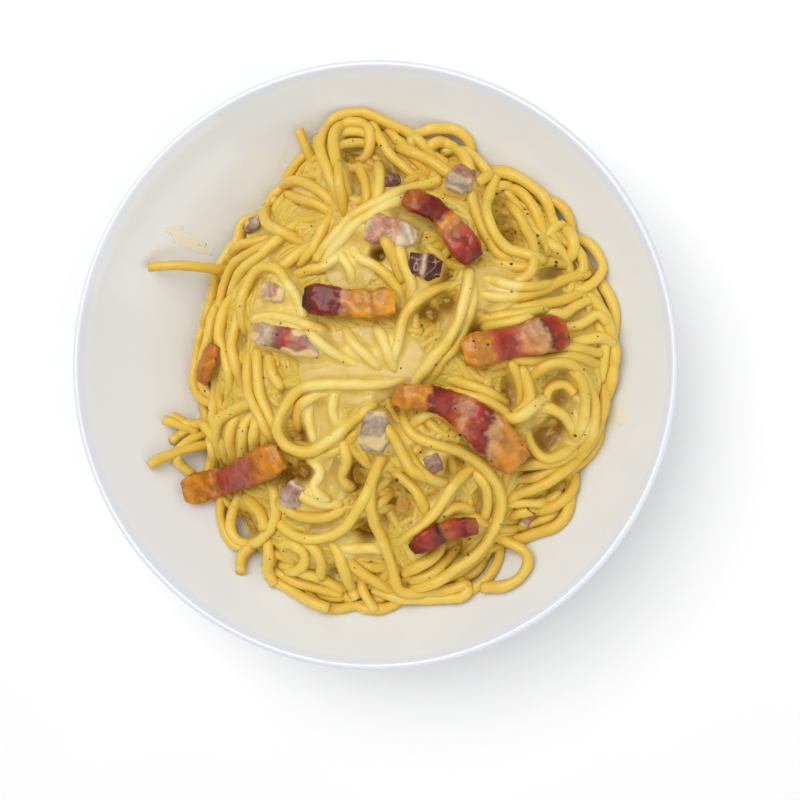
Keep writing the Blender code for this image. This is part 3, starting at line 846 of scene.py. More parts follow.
@dataclass
class HeapForm:
    """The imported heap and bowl, read as heights and as an outline.

    The wall is the bowl's inner face, and the crown is the heap's upper face carried on over the wall.
    """

    bowl_node: str = "bowl"
    heap_node: str = "spaghetti_heap"
    outline_steps: int = 72
    probe_cell: float = 2.0
    edge_height: float = 5.0
    middle: np.ndarray = field(init=False)
    wall: HeightField = field(init=False)
    crown: HeightField = field(init=False)
    reach: np.ndarray = field(init=False)

    def __post_init__(self) -> None:
        """Measure the frame."""
        low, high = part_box(self.heap_node)
        self.middle = np.array([(low.x + high.x) / 2, (low.y + high.y) / 2]) / MM
        self._measure_outline()
        self.wall = self._probe(self.bowl_node)
        self.crown = self._probe(self.heap_node)
        self.crown.values = np.maximum(self.crown.values, self.wall.values + self.edge_height)

    def _measure_outline(self) -> None:
        """Find how far the heap reaches in each direction, along its edges as well as at their ends."""
        corners = coordinates(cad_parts[self.heap_node])[:, :2]
        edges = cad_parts[self.heap_node].data.edges
        ends = np.array([tuple(edge.vertices) for edge in edges])
        part = np.linspace(0.0, 1.0, 9)[:, None, None]
        along = corners[ends[:, 0]] * (1.0 - part) + corners[ends[:, 1]] * part
        points = along.reshape(-1, 2) - self.middle
        angles = np.arctan2(points[:, 1], points[:, 0])
        bins = np.round(angles / (2 * math.pi) * self.outline_steps).astype(int) % self.outline_steps
        self.reach = np.zeros(self.outline_steps)
        np.maximum.at(self.reach, bins, np.linalg.norm(points, axis=1))
        self.reach = 0.25 * np.roll(self.reach, 1) + 0.5 * self.reach + 0.25 * np.roll(self.reach, -1)

    def _probe(self, node: str) -> HeightField:
        """Read a CAD node's upper face on a coarse grid and fill a fine one from it.

        Args:
            node: The CAD node's name.

        Returns:
            Its heights, with very low ones where it isn't.
        """
        tree = self._tree(node)
        coarse = HeightField(cell=self.probe_cell)
        down = Vector((0.0, 0.0, -1.0))
        for i, x in enumerate(coarse.axis()):
            for j, y in enumerate(coarse.axis()):
                hit = tree.ray_cast(Vector((x * MM, y * MM, 0.2)), down)[0]
                if hit is not None:
                    coarse.values[i, j] = hit.z / MM
        fine = HeightField()
        fine.values = coarse.sample(fine.places()).reshape(fine.count, fine.count)
        return fine

    def _tree(self, node: str) -> BVHTree:
        """A CAD node's faces, ready for rays."""
        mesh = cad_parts[node].data
        corners = [vert.co for vert in mesh.vertices]
        return BVHTree.FromPolygons(corners, [tuple(face.vertices) for face in mesh.polygons])

    def _faces(self, node: str, upper: bool) -> HeightField:
        """A small node's upper or lower face, with very low or very high values where it isn't."""
        tree = self._tree(node)
        low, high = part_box(node)
        result = HeightField()
        result.values[:] = -500.0 if upper else 500.0
        axis = result.axis()
        way = Vector((0.0, 0.0, -1.0 if upper else 1.0))
        for i in np.flatnonzero((axis * MM >= low.x) & (axis * MM <= high.x)):
            for j in np.flatnonzero((axis * MM >= low.y) & (axis * MM <= high.y)):
                hit = tree.ray_cast(Vector((axis[i] * MM, axis[j] * MM, 0.2 if upper else -0.1)), way)[0]
                if hit is not None:
                    result.values[i, j] = hit.z / MM
        return result

    def tops(self, nodes: list[str]) -> np.ndarray:
        """Upper faces of some nodes together."""
        return np.maximum.reduce([self._faces(node, True).values for node in nodes])

    def under(self, nodes: list[str], slope: float = 0.75, reach: int = 16) -> np.ndarray:
        """Lower faces of some nodes, each widening into a cone around it.

        Args:
            nodes: The CAD nodes.
            slope: How steeply the cone rises.
            reach: How many cells it goes out.

        Returns:
            Heights that strands below stay under.
        """
        values = np.minimum.reduce([self._faces(node, False).values for node in nodes])
        rise = slope * self.wall.cell
        for _ in range(reach):
            for axis, way in ((0, 1), (0, -1), (1, 1), (1, -1)):
                values = np.minimum(values, np.roll(values, way, axis) + rise)
        return values

    def outline(self, angles: np.ndarray) -> np.ndarray:
        """How far the heap reaches in these directions."""
        turns = (angles / (2 * math.pi) * self.outline_steps) % self.outline_steps
        return np.interp(turns, np.arange(self.outline_steps + 1), np.append(self.reach, self.reach[0]))

    def share(self, places: np.ndarray) -> np.ndarray:
        """How far out places lie: 0 at the heap's middle and 1 on its outline."""
        away = places[:, :2] - self.middle
        return np.linalg.norm(away, axis=1) / self.outline(np.arctan2(away[:, 1], away[:, 0]))


# ------------------------------------------------------------------ strands


@dataclass
class Strand:
    """One strand of spaghetti as it lies."""

    path: np.ndarray
    radius: float
    tone: float


@dataclass
class Drape:
    """Lays strands on the heap one after another, each on what is already there."""

    form: HeapForm
    step: float = 1.25
    sag: float = 0.016
    settle_rounds: int = 260
    core_depth: float = 13.0
    core_inset: float = 0.90
    core_fall: float = 6.0
    nestle: float = 0.45
    top: HeightField = field(init=False)
    ceiling: HeightField = field(init=False)

    def __post_init__(self) -> None:
        """Start from the bowl's wall and the core, with nothing held down."""
        self.top = self.form.wall.copy()
        self.top.values = np.maximum(self.top.values, self.core_heights())
        self.ceiling = HeightField(values=np.full(self.top.values.shape, 500.0))

    def core_heights(self) -> np.ndarray:
        """Height of the core under the strands."""
        share = self.form.share(self.top.places()).reshape(self.top.values.shape)
        fade = np.clip((share / self.core_inset) ** 4, 0.0, 1.0)
        height = self.form.crown.values - self.core_depth - self.core_fall * fade
        return np.where(share < self.core_inset, height, NOWHERE)

    def rest(self, route: np.ndarray, radius: float, dives: tuple[float, float]) -> np.ndarray:
        """Height of a strand's middle line along a route.

        Args:
            route: Rows of x and y.
            radius: The strand's radius.
            dives: How far the strand's two ends sink into the heap.

        Returns:
            Rows of x, y and z.
        """
        floor = self.top.contact(route, radius) - self.nestle
        along = np.arange(len(route)) * self.step
        for depth, away in ((dives[0], along), (dives[1], along[::-1])):
            depth = min(depth, 0.2 * along[-1])
            if depth > 0.0:
                floor = floor - depth * np.clip(1.0 - away / (2.6 * depth), 0.0, 1.0) ** 2
        height = floor.copy()
        for _ in range(self.settle_rounds):
            middle = 0.5 * height[1:-1] + 0.25 * (height[:-2] + height[2:]) - self.sag
            height[1:-1] = np.maximum(floor[1:-1], middle)
        low = self.ceiling.sample(route) - radius
        held = np.minimum(height, low)
        if (held < height).any():
            for _ in range(6):
                held[1:-1] = np.minimum(low[1:-1], 0.5 * held[1:-1] + 0.25 * (held[:-2] + held[2:]))
        wall = self.form.wall.contact(route, radius)
        return np.column_stack([route, np.maximum(held, wall)])

    def lay(self, route: np.ndarray, radius: float, tone: float,
            dives: tuple[float, float] = (0.0, 0.0)) -> Strand:
        """Lay one strand and raise the heap to it.

        Args:
            route: Rows of x and y.
            radius: The strand's radius.
            tone: From 0, deep yellow, to 1, pale.
            dives: How far the strand's two ends sink into the heap.

        Returns:
            The strand.
        """
        path = self.rest(even_route(route, self.step), radius, dives)
        self.top.press(path, radius)
        return Strand(path, radius, tone)


@dataclass
class Wander:
    """Random routes that curl about inside the heap's outline."""

    form: HeapForm
    rng: np.random.Generator
    step: float = 1.25
    tightest: float = 9.0
    spread: float = 68.0
    turning_zone: float = 0.16

    def route(self, length: float, share_high: float = 0.85) -> np.ndarray:
        """One curling route.

        Args:
            length: Its length in millimetres.
            share_high: It turns back here.

        Returns:
            Rows of x and y.
        """
        angle = self.rng.uniform(0, 2 * math.pi)
        share = math.sqrt(self.rng.uniform(0.0, (share_high * 0.95) ** 2))
        here = self.form.middle + share * self.spread * np.array([math.cos(angle), math.sin(angle)])
        heading = self.rng.uniform(0, 2 * math.pi)
        bend = self.rng.normal(0.0, 0.03)
        turn = self.rng.choice([-1.0, 1.0])
        points = [here]
        for _ in range(int(length / self.step)):
            bend += self.rng.normal(0.0, 0.012) - 0.05 * (bend - turn * 0.028)
            if self.rng.uniform() < 0.012:
                turn = -turn
            out = float(self.form.share(here[None, :])[0])
            steer = bend
            if out > share_high - self.turning_zone:
                inward = self.form.middle - here
                side = math.cos(heading) * inward[1] - math.sin(heading) * inward[0]
                away = -(math.cos(heading) * inward[0] + math.sin(heading) * inward[1])
                push = (out - share_high + self.turning_zone) / self.turning_zone
                if away > -0.35 * np.linalg.norm(inward):
                    steer += math.copysign(push * 0.10, side)
            steer = max(-1 / self.tightest, min(1 / self.tightest, steer))
            heading += steer * self.step
            here = here + self.step * np.array([math.cos(heading), math.sin(heading)])
            points.append(here)
        return np.array(points)


@dataclass
class TubeMaker:
    """Turns laid strands into round meshes."""

    form: HeapForm
    finish: bpy.types.Material
    sides: int = 10

    def make(self, name: str, strands: list[Strand], nodes: Sequence[str]) -> bpy.types.Object:
        """One mesh of round strands.

        Args:
            name: The piece's name.
            strands: The strands in it.
            nodes: CAD nodes that it stands for.

        Returns:
            The piece.
        """
        curve = bpy.data.curves.new(name, "CURVE")
        curve.dimensions = "3D"
        curve.bevel_depth = MM
        curve.bevel_resolution = (self.sides - 4) // 2
        curve.use_fill_caps = True
        for strand in strands:
            spline = curve.splines.new("POLY")
            spline.points.add(len(strand.path) - 1)
            path = np.column_stack([strand.path * MM, np.ones(len(strand.path))])
            spline.points.foreach_set("co", path.ravel())
            along = np.arange(len(strand.path))
            slow = 0.045 * np.sin(along / 5.1 + strand.tone * 40)
            quick = 0.03 * np.sin(along / 2.3 + strand.tone * 70)
            swell = 1.0 + slow + quick
            spline.points.foreach_set("radius", strand.radius * swell)
        piece = bpy.data.objects.new(name, curve)
        bpy.context.scene.collection.objects.link(piece)
        activate(piece)
        bpy.ops.object.convert(target="MESH")
        piece = bpy.context.active_object
        edit_all()
        bpy.ops.mesh.remove_doubles(threshold=0.000005)
        close_up()
        self._coat(piece)
        self._colour(piece, strands)
        return dressed(piece, self.finish, "sauced_spaghetti", *nodes)

    def _coat(self, piece: bpy.types.Object) -> None:
        """Swell the strands a little where sauce clings to them."""
        points = coordinates(piece)
        swell = 0.30 * clouds_at(points, 3.4, 2.0) + 0.12 * clouds_at(points, 1.3, 3.0)
        set_coordinates(piece, points + normals(piece) * swell[:, None])

    def _colour(self, piece: bpy.types.Object, strands: list[Strand]) -> None:
        """Store each point's strand tone, a painted shade from its depth in the heap, and its share of sauce,
        less deeper down.
        """
        points = coordinates(piece)
        tree = KDTree(sum(len(strand.path) for strand in strands))
        tones = []
        for strand in strands:
            for row in strand.path:
                tree.insert(row, len(tones))
                tones.append(strand.tone)
        tree.balance()
        carry(piece, "tone", np.array([tones[tree.find(point)[1]] for point in points]))
        # painted shade: strands more than 4 mm under the crown are darkened towards the shade colour
        gap = self.form.crown.sample(points) - points[:, 2]
        carry(piece, "deep", np.clip((gap - 4.0) / 8.0, 0.0, 0.85))
        carry(piece, "cream", creaminess(points) - 0.35 * np.clip(gap / 5.0, 0.0, 1.0))


@dataclass
class SpaghettiHeap:
    """The heap of strands: random ones below, and the loops and arcs that show on top."""

    form: HeapForm
    drape: Drape
    seed: int = 11
    radius: float = 1.66
    strand_length: float = 250.0
    hidden_rounds: int = 36
    tries: int = 7
    hidden: list[Strand] = field(default_factory=list)
    shown: list[Strand] = field(default_factory=list)
    rng: np.random.Generator = field(init=False)

    def __post_init__(self) -> None:
        """Prepare to lay strands."""
        self.rng = np.random.default_rng(self.seed)

    def lay_hidden(self) -> None:
        """Build the heap up with bundles that go where it is still too low."""
        wander = Wander(self.form, self.rng)
        for _ in range(self.hidden_rounds):
            best, best_gap = None, -1e9
            for _ in range(self.tries):
                route = wander.route(self.strand_length * self.rng.uniform(0.8, 1.1))
                gap = self.drape.ceiling.sample(route) - self.drape.top.sample(route) - self.radius
                value = float(np.clip(gap, -6, 6).mean() - 1.5 * np.clip(-gap, 0, None).mean())
                if value > best_gap:
                    best, best_gap = route, value
            self._lay_bundle(best, int(self.rng.integers(2, 5)))

    def _lay_bundle(self, route: np.ndarray, count: int, spread: float = 1.9) -> None:
        """Lay strands side by side along one route.

        Args:
            route: Rows of x and y.
            count: How many strands.
            spread: Spacing, in radii.
        """
        step = self.drape.step
        route = even_route(route, step)
        ahead = np.gradient(route, axis=0)
        side = np.column_stack([-ahead[:, 1], ahead[:, 0]])
        side /= np.linalg.norm(side, axis=1)[:, None] + 1e-9
        along = np.arange(len(route)) * step
        for index in range(count):
            offset = (index - (count - 1) / 2) * self.radius * spread
            wander = 0.5 * np.sin(along / self.rng.uniform(9, 16) + self.rng.uniform(0, 6.3))
            wander += 0.6 * np.sin(along / self.rng.uniform(18, 30) + self.rng.uniform(0, 6.3))
            line = route + side * (offset + wander)[:, None]
            radius = self.radius * self.rng.uniform(0.96, 1.05)
            self.hidden.append(self.drape.lay(line, radius, self.rng.uniform(0.0, 0.9)))

    def lay_shown(self) -> None:
        """Lay the strands that show, from the lowest to the highest."""
        for name, points in SHOWN_STRANDS.items():
            route = smooth_route(points, self.drape.step)
            radius = self.radius * self.rng.uniform(0.97, 1.08)
            tone = self.rng.uniform(0.25, 1.0)
            self.shown.append(self.drape.lay(route, radius, tone, FREE_ENDS.get(name, (5.0, 5.0))))

    def build(self, tubes: TubeMaker, sauce: HeightField) -> list[bpy.types.Object]:
        """Make the strands' meshes, without what lies under the sauce.

        Args:
            tubes: Makes the meshes.
            sauce: Height of the sauce between the strands.

        Returns:
            The pieces.
        """
        low = -HeightField(values=-sauce.values).rolled(3.0)
        visible = HeightField(values=low - 0.6)
        kept = [part for strand in self.hidden for part in self._above(strand, visible)]
        LOG.info("hidden strands: %d, of which %d parts are kept", len(self.hidden), len(kept))
        pieces = []
        half = len(kept) // 2
        for index, strands in enumerate((kept[:half], kept[half:], self.shown)):
            pieces.append(tubes.make(f"spaghetti_strands_{index + 1}", strands, ["spaghetti_heap"]))
        return pieces

    def _above(self, strand: Strand, level: HeightField) -> list[Strand]:
        """The parts of a strand that reach above a level."""
        show = strand.path[:, 2] + strand.radius > level.sample(strand.path)
        for _ in range(2):
            show = show | np.roll(show, 1) | np.roll(show, -1)
        parts = []
        start = None
        for index, seen in enumerate([*show, False]):
            if seen and start is None:
                start = index
            elif not seen and start is not None:
                if index - start > 3:
                    parts.append(Strand(strand.path[start:index], strand.radius, strand.tone))
                start = None
        return parts


@dataclass
class LooseStrands:
    """Strands that stick out of the heap over the bowl's wall."""

    bowl: "CoupeBowl"
    radius: float = 1.65
    step: float = 1.2

    def build(self, tubes: TubeMaker, drape: Drape) -> list[bpy.types.Object]:
        """One piece for each strand.

        Args:
            tubes: Makes the meshes.
            drape: The heap that they lie in.

        Returns:
            The pieces.
        """
        pieces = []
        for index, (node, route) in enumerate(LOOSE_STRANDS.items()):
            points = []
            for x, y, clear in route:
                away = math.hypot(x, y)
                points.append((x, y, self.bowl.inner(away) + clear * math.hypot(1.0, self.bowl.slope(away))))
            strand = Strand(smooth_route(points, self.step), self.radius, 0.25 + 0.1 * index)
            drape.top.press(strand.path, strand.radius)
            pieces.append(tubes.make(f"loose_{node}", [strand], [node]))
        return pieces


# ------------------------------------------------------------------ sauce and pepper


@dataclass
class Sauce:
    """The heap's core, whose upper face is the sauce between the strands."""

    form: HeapForm
    drape: Drape
    finish: bpy.types.Material
    fillet: float = 2.2
    coat: float = 0.14
    bare: float = 2.1
    thick_drop: float = 0.55
    deepest: float = 11.5
    inset: float = 0.985
    cells: int = 256
    underside: tuple[float, ...] = (0.86, 0.84, 0.80, 0.75, 0.70)

    def surface(self, hidden_top: HeightField) -> HeightField:
        """Height of the sauce over the whole grid.

        Args:
            hidden_top: Height of the lower strands, which thick sauce covers.

        Returns:
            The sauce's height.
        """
        places = self.drape.top.places()
        shape = self.drape.top.values.shape
        patches = HeightField(cell=4.0)
        spots = np.pad(patches.places(), ((0, 0), (0, 1)))
        patches.values = clouds_at(spots, 11.0, 5.0).reshape(patches.values.shape)
        cream = creaminess(places) + 0.22 * patches.sample(places)
        share = self.form.share(places)
        closed = blurred(self.drape.top.closed(self.fillet), 2)
        between = closed - (self.bare + 1.2 * ramp(share, 0.8, 0.15) - 0.9 * cream).reshape(shape)
        over = np.maximum(hidden_top.values, blurred(hidden_top.values, 5)) + self.coat
        thick = np.maximum(closed - self.thick_drop, np.minimum(over, closed + self.coat))
        weight = ramp(cream, 0.58, 0.12).reshape(shape)
        height = between + (blurred(thick, 1) - between) * weight
        wall, crown = self.form.wall.values, self.form.crown.values
        taper = np.clip((0.96 - share) / 0.12, 0.0, 1.0).reshape(shape)
        lowest = wall + 0.8 + (np.maximum(crown - self.deepest, wall + 1.0) - wall - 0.8) * taper
        return HeightField(values=np.minimum(np.maximum(height, lowest), self.drape.ceiling.values + 0.8))

    def build(self, surface: HeightField) -> bpy.types.Object:
        """Press a round slab into the sauce's shape.

        Args:
            surface: The sauce's height.

        Returns:
            The piece.
        """
        deselect()
        bpy.ops.mesh.primitive_grid_add(x_subdivisions=self.cells, y_subdivisions=self.cells, size=2.0)
        core = bpy.context.active_object
        core.name = "sauce_between_strands"
        edit_all()
        bpy.ops.mesh.region_to_loop()
        bpy.ops.mesh.extrude_edges_move(TRANSFORM_OT_translate={"value": (0, 0, -1.0)})
        for scale in self.underside:
            bpy.ops.mesh.extrude_edges_move(TRANSFORM_OT_translate={"value": (0, 0, 0)})
            bpy.ops.transform.resize(value=(scale, scale, 1.0), center_override=(0.0, 0.0, -1.0))
        bpy.ops.mesh.edge_face_add()
        bpy.ops.mesh.select_all(action="SELECT")
        close_up()
        unit = coordinates(core) * MM
        base = unit[:, 2] < -0.5
        flat = self._round(unit[:, :2])
        angle = np.arctan2(flat[:, 1], flat[:, 0])
        reach = (self.form.outline(angle) * self.inset * np.hypot(flat[:, 0], flat[:, 1]))[:, None]
        around = np.column_stack([np.cos(angle), np.sin(angle)])
        points = np.column_stack([self.form.middle + reach * around, np.zeros(len(unit))])
        points[:, 2] = surface.sample(points)
        points[base, 2] = np.minimum(points[base, 2], self.form.wall.sample(points[base])) - 0.8
        set_coordinates(core, points)
        # painted shade: sauce lying deep under the crown is darkened, less so towards the heap's outline
        gap = self.form.crown.sample(points) - points[:, 2]
        inner = np.clip((0.97 - self.form.share(points)) / 0.15, 0.25, 1.0)
        carry(core, "deep", ramp(gap, 3.0, 5.5) * inner)
        return dressed(core, self.finish, "sauced_spaghetti", "spaghetti_heap")

    def _round(self, square: np.ndarray) -> np.ndarray:
        """Carry places in a square of side 2 over to a circle of radius 1.

        Args:
            square: Rows of x and y.

        Returns:
            Rows of x and y.
        """
        x, y = square[:, 0], square[:, 1]
        wide = np.abs(x) >= np.abs(y)
        radius = np.where(wide, x, y)
        divisor = np.where(np.abs(radius) > 0.0, radius, 1.0)
        part = np.where(wide, y, x) / divisor * math.pi / 4
        turn = np.where(wide, part, math.pi / 2 - part)
        return np.column_stack([radius * np.cos(turn), radius * np.sin(turn)])

    def build_smears(self, bowl: "CoupeBowl") -> bpy.types.Object:
        """Thin films of sauce left on the bowl's wall.

        Args:
            bowl: The bowl that they lie on.

        Returns:
            One piece with all of them.
        """
        films = []
        for x, y, wide, deep, turn in SMEARS:
            deselect()
            bpy.ops.mesh.primitive_uv_sphere_add(segments=96, ring_count=16, radius=1.0)
            film = bpy.context.active_object
            unit = coordinates(film) * MM
            ragged = 1.0 + 0.7 * clouds_at(unit * np.array([1.0, 1.0, 0.0]), 0.6, turn)
            flat = unit[:, :2] * ragged[:, None] * np.array([wide, deep])
            cosine, sine = math.cos(turn), math.sin(turn)
            points = np.column_stack([x + flat[:, 0] * cosine - flat[:, 1] * sine,
                                      y + flat[:, 0] * sine + flat[:, 1] * cosine, np.zeros(len(flat))])
            away = np.hypot(points[:, 0], points[:, 1])
            wall = np.array([bowl.inner(radius) for radius in away])
            points[:, 2] = wall + 0.12 * unit[:, 2] + 0.02
            set_coordinates(film, points)
            films.append(film)
        piece = joined(films, "sauce_films_on_wall")
        return dressed(piece, WALL_FILM.build(), "sauced_spaghetti")


@dataclass
class Pepper:
    """Cracked pepper scattered over the dish."""

    form: HeapForm
    surface: HeightField
    count: int = 190
    seed: int = 5

    def build(self) -> bpy.types.Object:
        """Copy one chip of pepper over the heap, each at its own size and shape."""
        rng = np.random.default_rng(self.seed)
        deselect()
        bpy.ops.mesh.primitive_ico_sphere_add(subdivisions=1, radius=1.0)
        chip = bpy.context.active_object
        unit = coordinates(chip) * MM
        chips = []
        for _ in range(self.count):
            copy = bpy.data.objects.new("pepper_chip", chip.data.copy())
            bpy.context.scene.collection.objects.link(copy)
            angle, share = rng.uniform(0, 2 * math.pi), math.sqrt(rng.uniform(0, 0.9))
            reach = float(self.form.outline(np.array([angle]))[0]) * share
            place = self.form.middle + reach * np.array([math.cos(angle), math.sin(angle)])
            size = rng.uniform(0.14, 0.38) if rng.uniform() < 0.8 else rng.uniform(0.38, 0.62)
            jitter = rng.uniform(0.65, 1.3, (len(unit), 1)) * np.array([1.0, rng.uniform(0.6, 1.0), 0.6])
            height = float(self.surface.sample(place[None, :])[0])
            set_coordinates(copy, unit * jitter * size + np.array([place[0], place[1], height + 0.1 * size]))
            chips.append(copy)
        bpy.data.objects.remove(chip)
        piece = joined(chips, "cracked_pepper")
        piece.data.materials.append(GROUND_PEPPER.build())
        return register(piece, "sauced_spaghetti")


# ------------------------------------------------------------------ meat


class Tissue(Enum):
    """Colours of bacon and ham."""

    CHAR = (0.050, 0.006, 0.003)
    DARK_LEAN = (0.170, 0.012, 0.004)
    LEAN = (0.340, 0.030, 0.010)
    ROSE = (0.370, 0.070, 0.030)
    BLUSH = (0.520, 0.205, 0.070)
    PALE_FAT = (0.610, 0.320, 0.120)
    AMBER = (0.540, 0.205, 0.010)
    GOLD = (0.640, 0.285, 0.020)
    BROWN = (0.380, 0.095, 0.006)
    HAM_PINK = (0.480, 0.215, 0.120)
    HAM_MAUVE = (0.270, 0.105, 0.072)
    # painted shade: a near-black ham colour for parts that lie in shadow
    HAM_DARK = (0.090, 0.018, 0.014)
    HAM_CREAM = (0.580, 0.450, 0.290)
    HAM_GREY = (0.330, 0.235, 0.160)


@dataclass(frozen=True)
class MeatSlice:
    """One strip of meat: bands of tissue along it, and how crinkled and veined it is."""

    node: str
    ahead: Point
    bands: tuple[tuple[float, Tissue], ...]
    rim: Tissue = Tissue.BROWN
    crinkle: float = 0.16
    ragged: float = 0.50
    veins: float = 0.0
    coat: float = 0.0
    slant: float = 0.0
    notch: tuple[float, float] | None = None

    @property
    def seed(self) -> float:
        """A number of its own for each slice."""
        return float(sum(ord(letter) * (index + 1) for index, letter in enumerate(self.node)) % 97)

    def build(self, finish: bpy.types.Material, slot: str) -> bpy.types.Object:
        """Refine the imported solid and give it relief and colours.

        Args:
            finish: The meat's material.
            slot: The record's material slot.

        Returns:
            The piece.
        """
        piece = bpy.data.objects.new(f"{self.node}_slice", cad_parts[self.node].data.copy())
        bpy.context.scene.collection.objects.link(piece)
        activate(piece)
        edit_all()
        bpy.ops.mesh.remove_doubles(threshold=0.00001)
        bpy.ops.object.mode_set(mode="OBJECT")
        remesh = piece.modifiers.new("fine", "REMESH")
        remesh.mode = "VOXEL"
        remesh.voxel_size = 0.30 * MM
        soften = piece.modifiers.new("soften", "SMOOTH")
        soften.factor = 0.5
        soften.iterations = 5
        apply_modifiers(piece)
        points = coordinates(piece)
        along, across = self._places(points)
        facing = normals(piece)
        relief = self._relief(points, along, across, facing)
        shaped = points + facing * relief[:, None]
        if self.notch:
            pinch = np.exp(-((along - self.notch[0]) / 0.05) ** 2) * np.clip(across * self.notch[1], 0, 1)
            shaped -= self._sideways(points)[None, :] * (1.6 * pinch * self.notch[1])[:, None]
        set_coordinates(piece, shaped)
        carry(piece, "meat", self._colours(points, along, across, relief))
        return dressed(piece, finish, slot, self.node)

    def _axis(self, points: np.ndarray) -> np.ndarray:
        """The strip's long direction in plan."""
        flat = points[:, :2] - points[:, :2].mean(axis=0)
        values, vectors = np.linalg.eigh(flat.T @ flat)
        axis = vectors[:, int(np.argmax(values))]
        return axis if axis @ np.array(self.ahead) > 0 else -axis

    def _sideways(self, points: np.ndarray) -> np.ndarray:
        """The direction across the strip."""
        axis = self._axis(points)
        return np.array([-axis[1], axis[0], 0.0])

    def _places(self, points: np.ndarray) -> tuple[np.ndarray, np.ndarray]:
        """Place along the strip from 0 to 1, and across it from -1 to 1.

        Args:
            points: The strip's points.

        Returns:
            Both places for each point.
        """
        axis = self._axis(points)
        flat = points[:, :2] - points[:, :2].mean(axis=0)
        along = flat @ axis
        across = flat @ np.array([-axis[1], axis[0]])
        along = (along - along.min()) / (along.max() - along.min())
        across = across - np.polyval(np.polyfit(along, across, 2), along)
        return along, across / np.percentile(np.abs(across), 97)

    def _relief(self, points: np.ndarray, along: np.ndarray, across: np.ndarray,
                facing: np.ndarray) -> np.ndarray:
        """How far each point stands out of the plain strip.

        Args:
            points: The strip's points.
            along: Places along it.
            across: Places across it.
            facing: The points' normals.

        Returns:
            One height for each point.
        """
        warp = clouds_at(points, 5.0, self.seed)
        folds = np.sin(2 * math.pi * (2.4 * along + 0.9 * warp + 0.25 * across))
        lumps = clouds_at(points, 2.3, self.seed + 1)
        grain = clouds_at(points, 0.8, self.seed + 2)
        flat = np.abs(facing[:, 2])
        edge = (1.0 - flat) * self.ragged * clouds_at(points * np.array([1.0, 1.0, 0.3]), 1.9, self.seed + 3)
        return self.crinkle * (0.75 * folds * flat + 0.8 * lumps) + 0.05 * grain + edge

    def _colours(self, points: np.ndarray, along: np.ndarray, across: np.ndarray,
                 relief: np.ndarray) -> np.ndarray:
        """Colour of each point.

        Args:
            points: The strip's points.
            along: Places along it.
            across: Places across it.
            relief: How far they stand out.

        Returns:
            Rows of red, green, blue and 1.
        """
        warp = 0.05 * clouds_at(points, 3.0, self.seed + 4) + 0.025 * clouds_at(points, 1.0, self.seed + 5)
        place = np.clip(along + warp + self.slant * across, 0.0, 1.0)
        stops = [stop for stop, _ in self.bands]
        palette = np.array([tissue.value for _, tissue in self.bands])
        colour = np.column_stack([np.interp(place, stops, palette[:, channel]) for channel in range(3)])
        # painted shade and light: colour darkens where the relief dips and lightens where it stands out, on
        # top of a random speckle
        speckle_and_relief_shade = 1.0 + 0.14 * clouds_at(points, 0.9, self.seed + 6) + 0.25 * relief / max(self.crinkle, 0.1)
        colour = colour * np.clip(speckle_and_relief_shade, 0.5, 1.5)[:, None]
        out = np.abs(across) + 0.25 * clouds_at(points, 1.6, self.seed + 7)
        crust = ramp(out, 0.86, 0.2) * 0.6
        colour = colour + (np.array(self.rim.value) - colour) * crust[:, None]
        if self.veins:
            thread = np.abs(clouds_at(points, 3.2, self.seed + 8))
            fat = np.clip(1.0 - thread / 0.06, 0.0, 1.0) * self.veins
            colour = colour + (np.array(Tissue.HAM_CREAM.value) - colour) * fat[:, None]
        if self.coat:
            sauce = np.clip((clouds_at(points, 4.5, self.seed + 9) + self.coat - 0.5) / 0.14, 0.0, 1.0) * 0.9
            colour = colour + (np.array(CREAM_ON_MEAT) - colour) * sauce[:, None]
        return np.column_stack([np.clip(colour, 0.0, 1.0), np.ones(len(colour))])


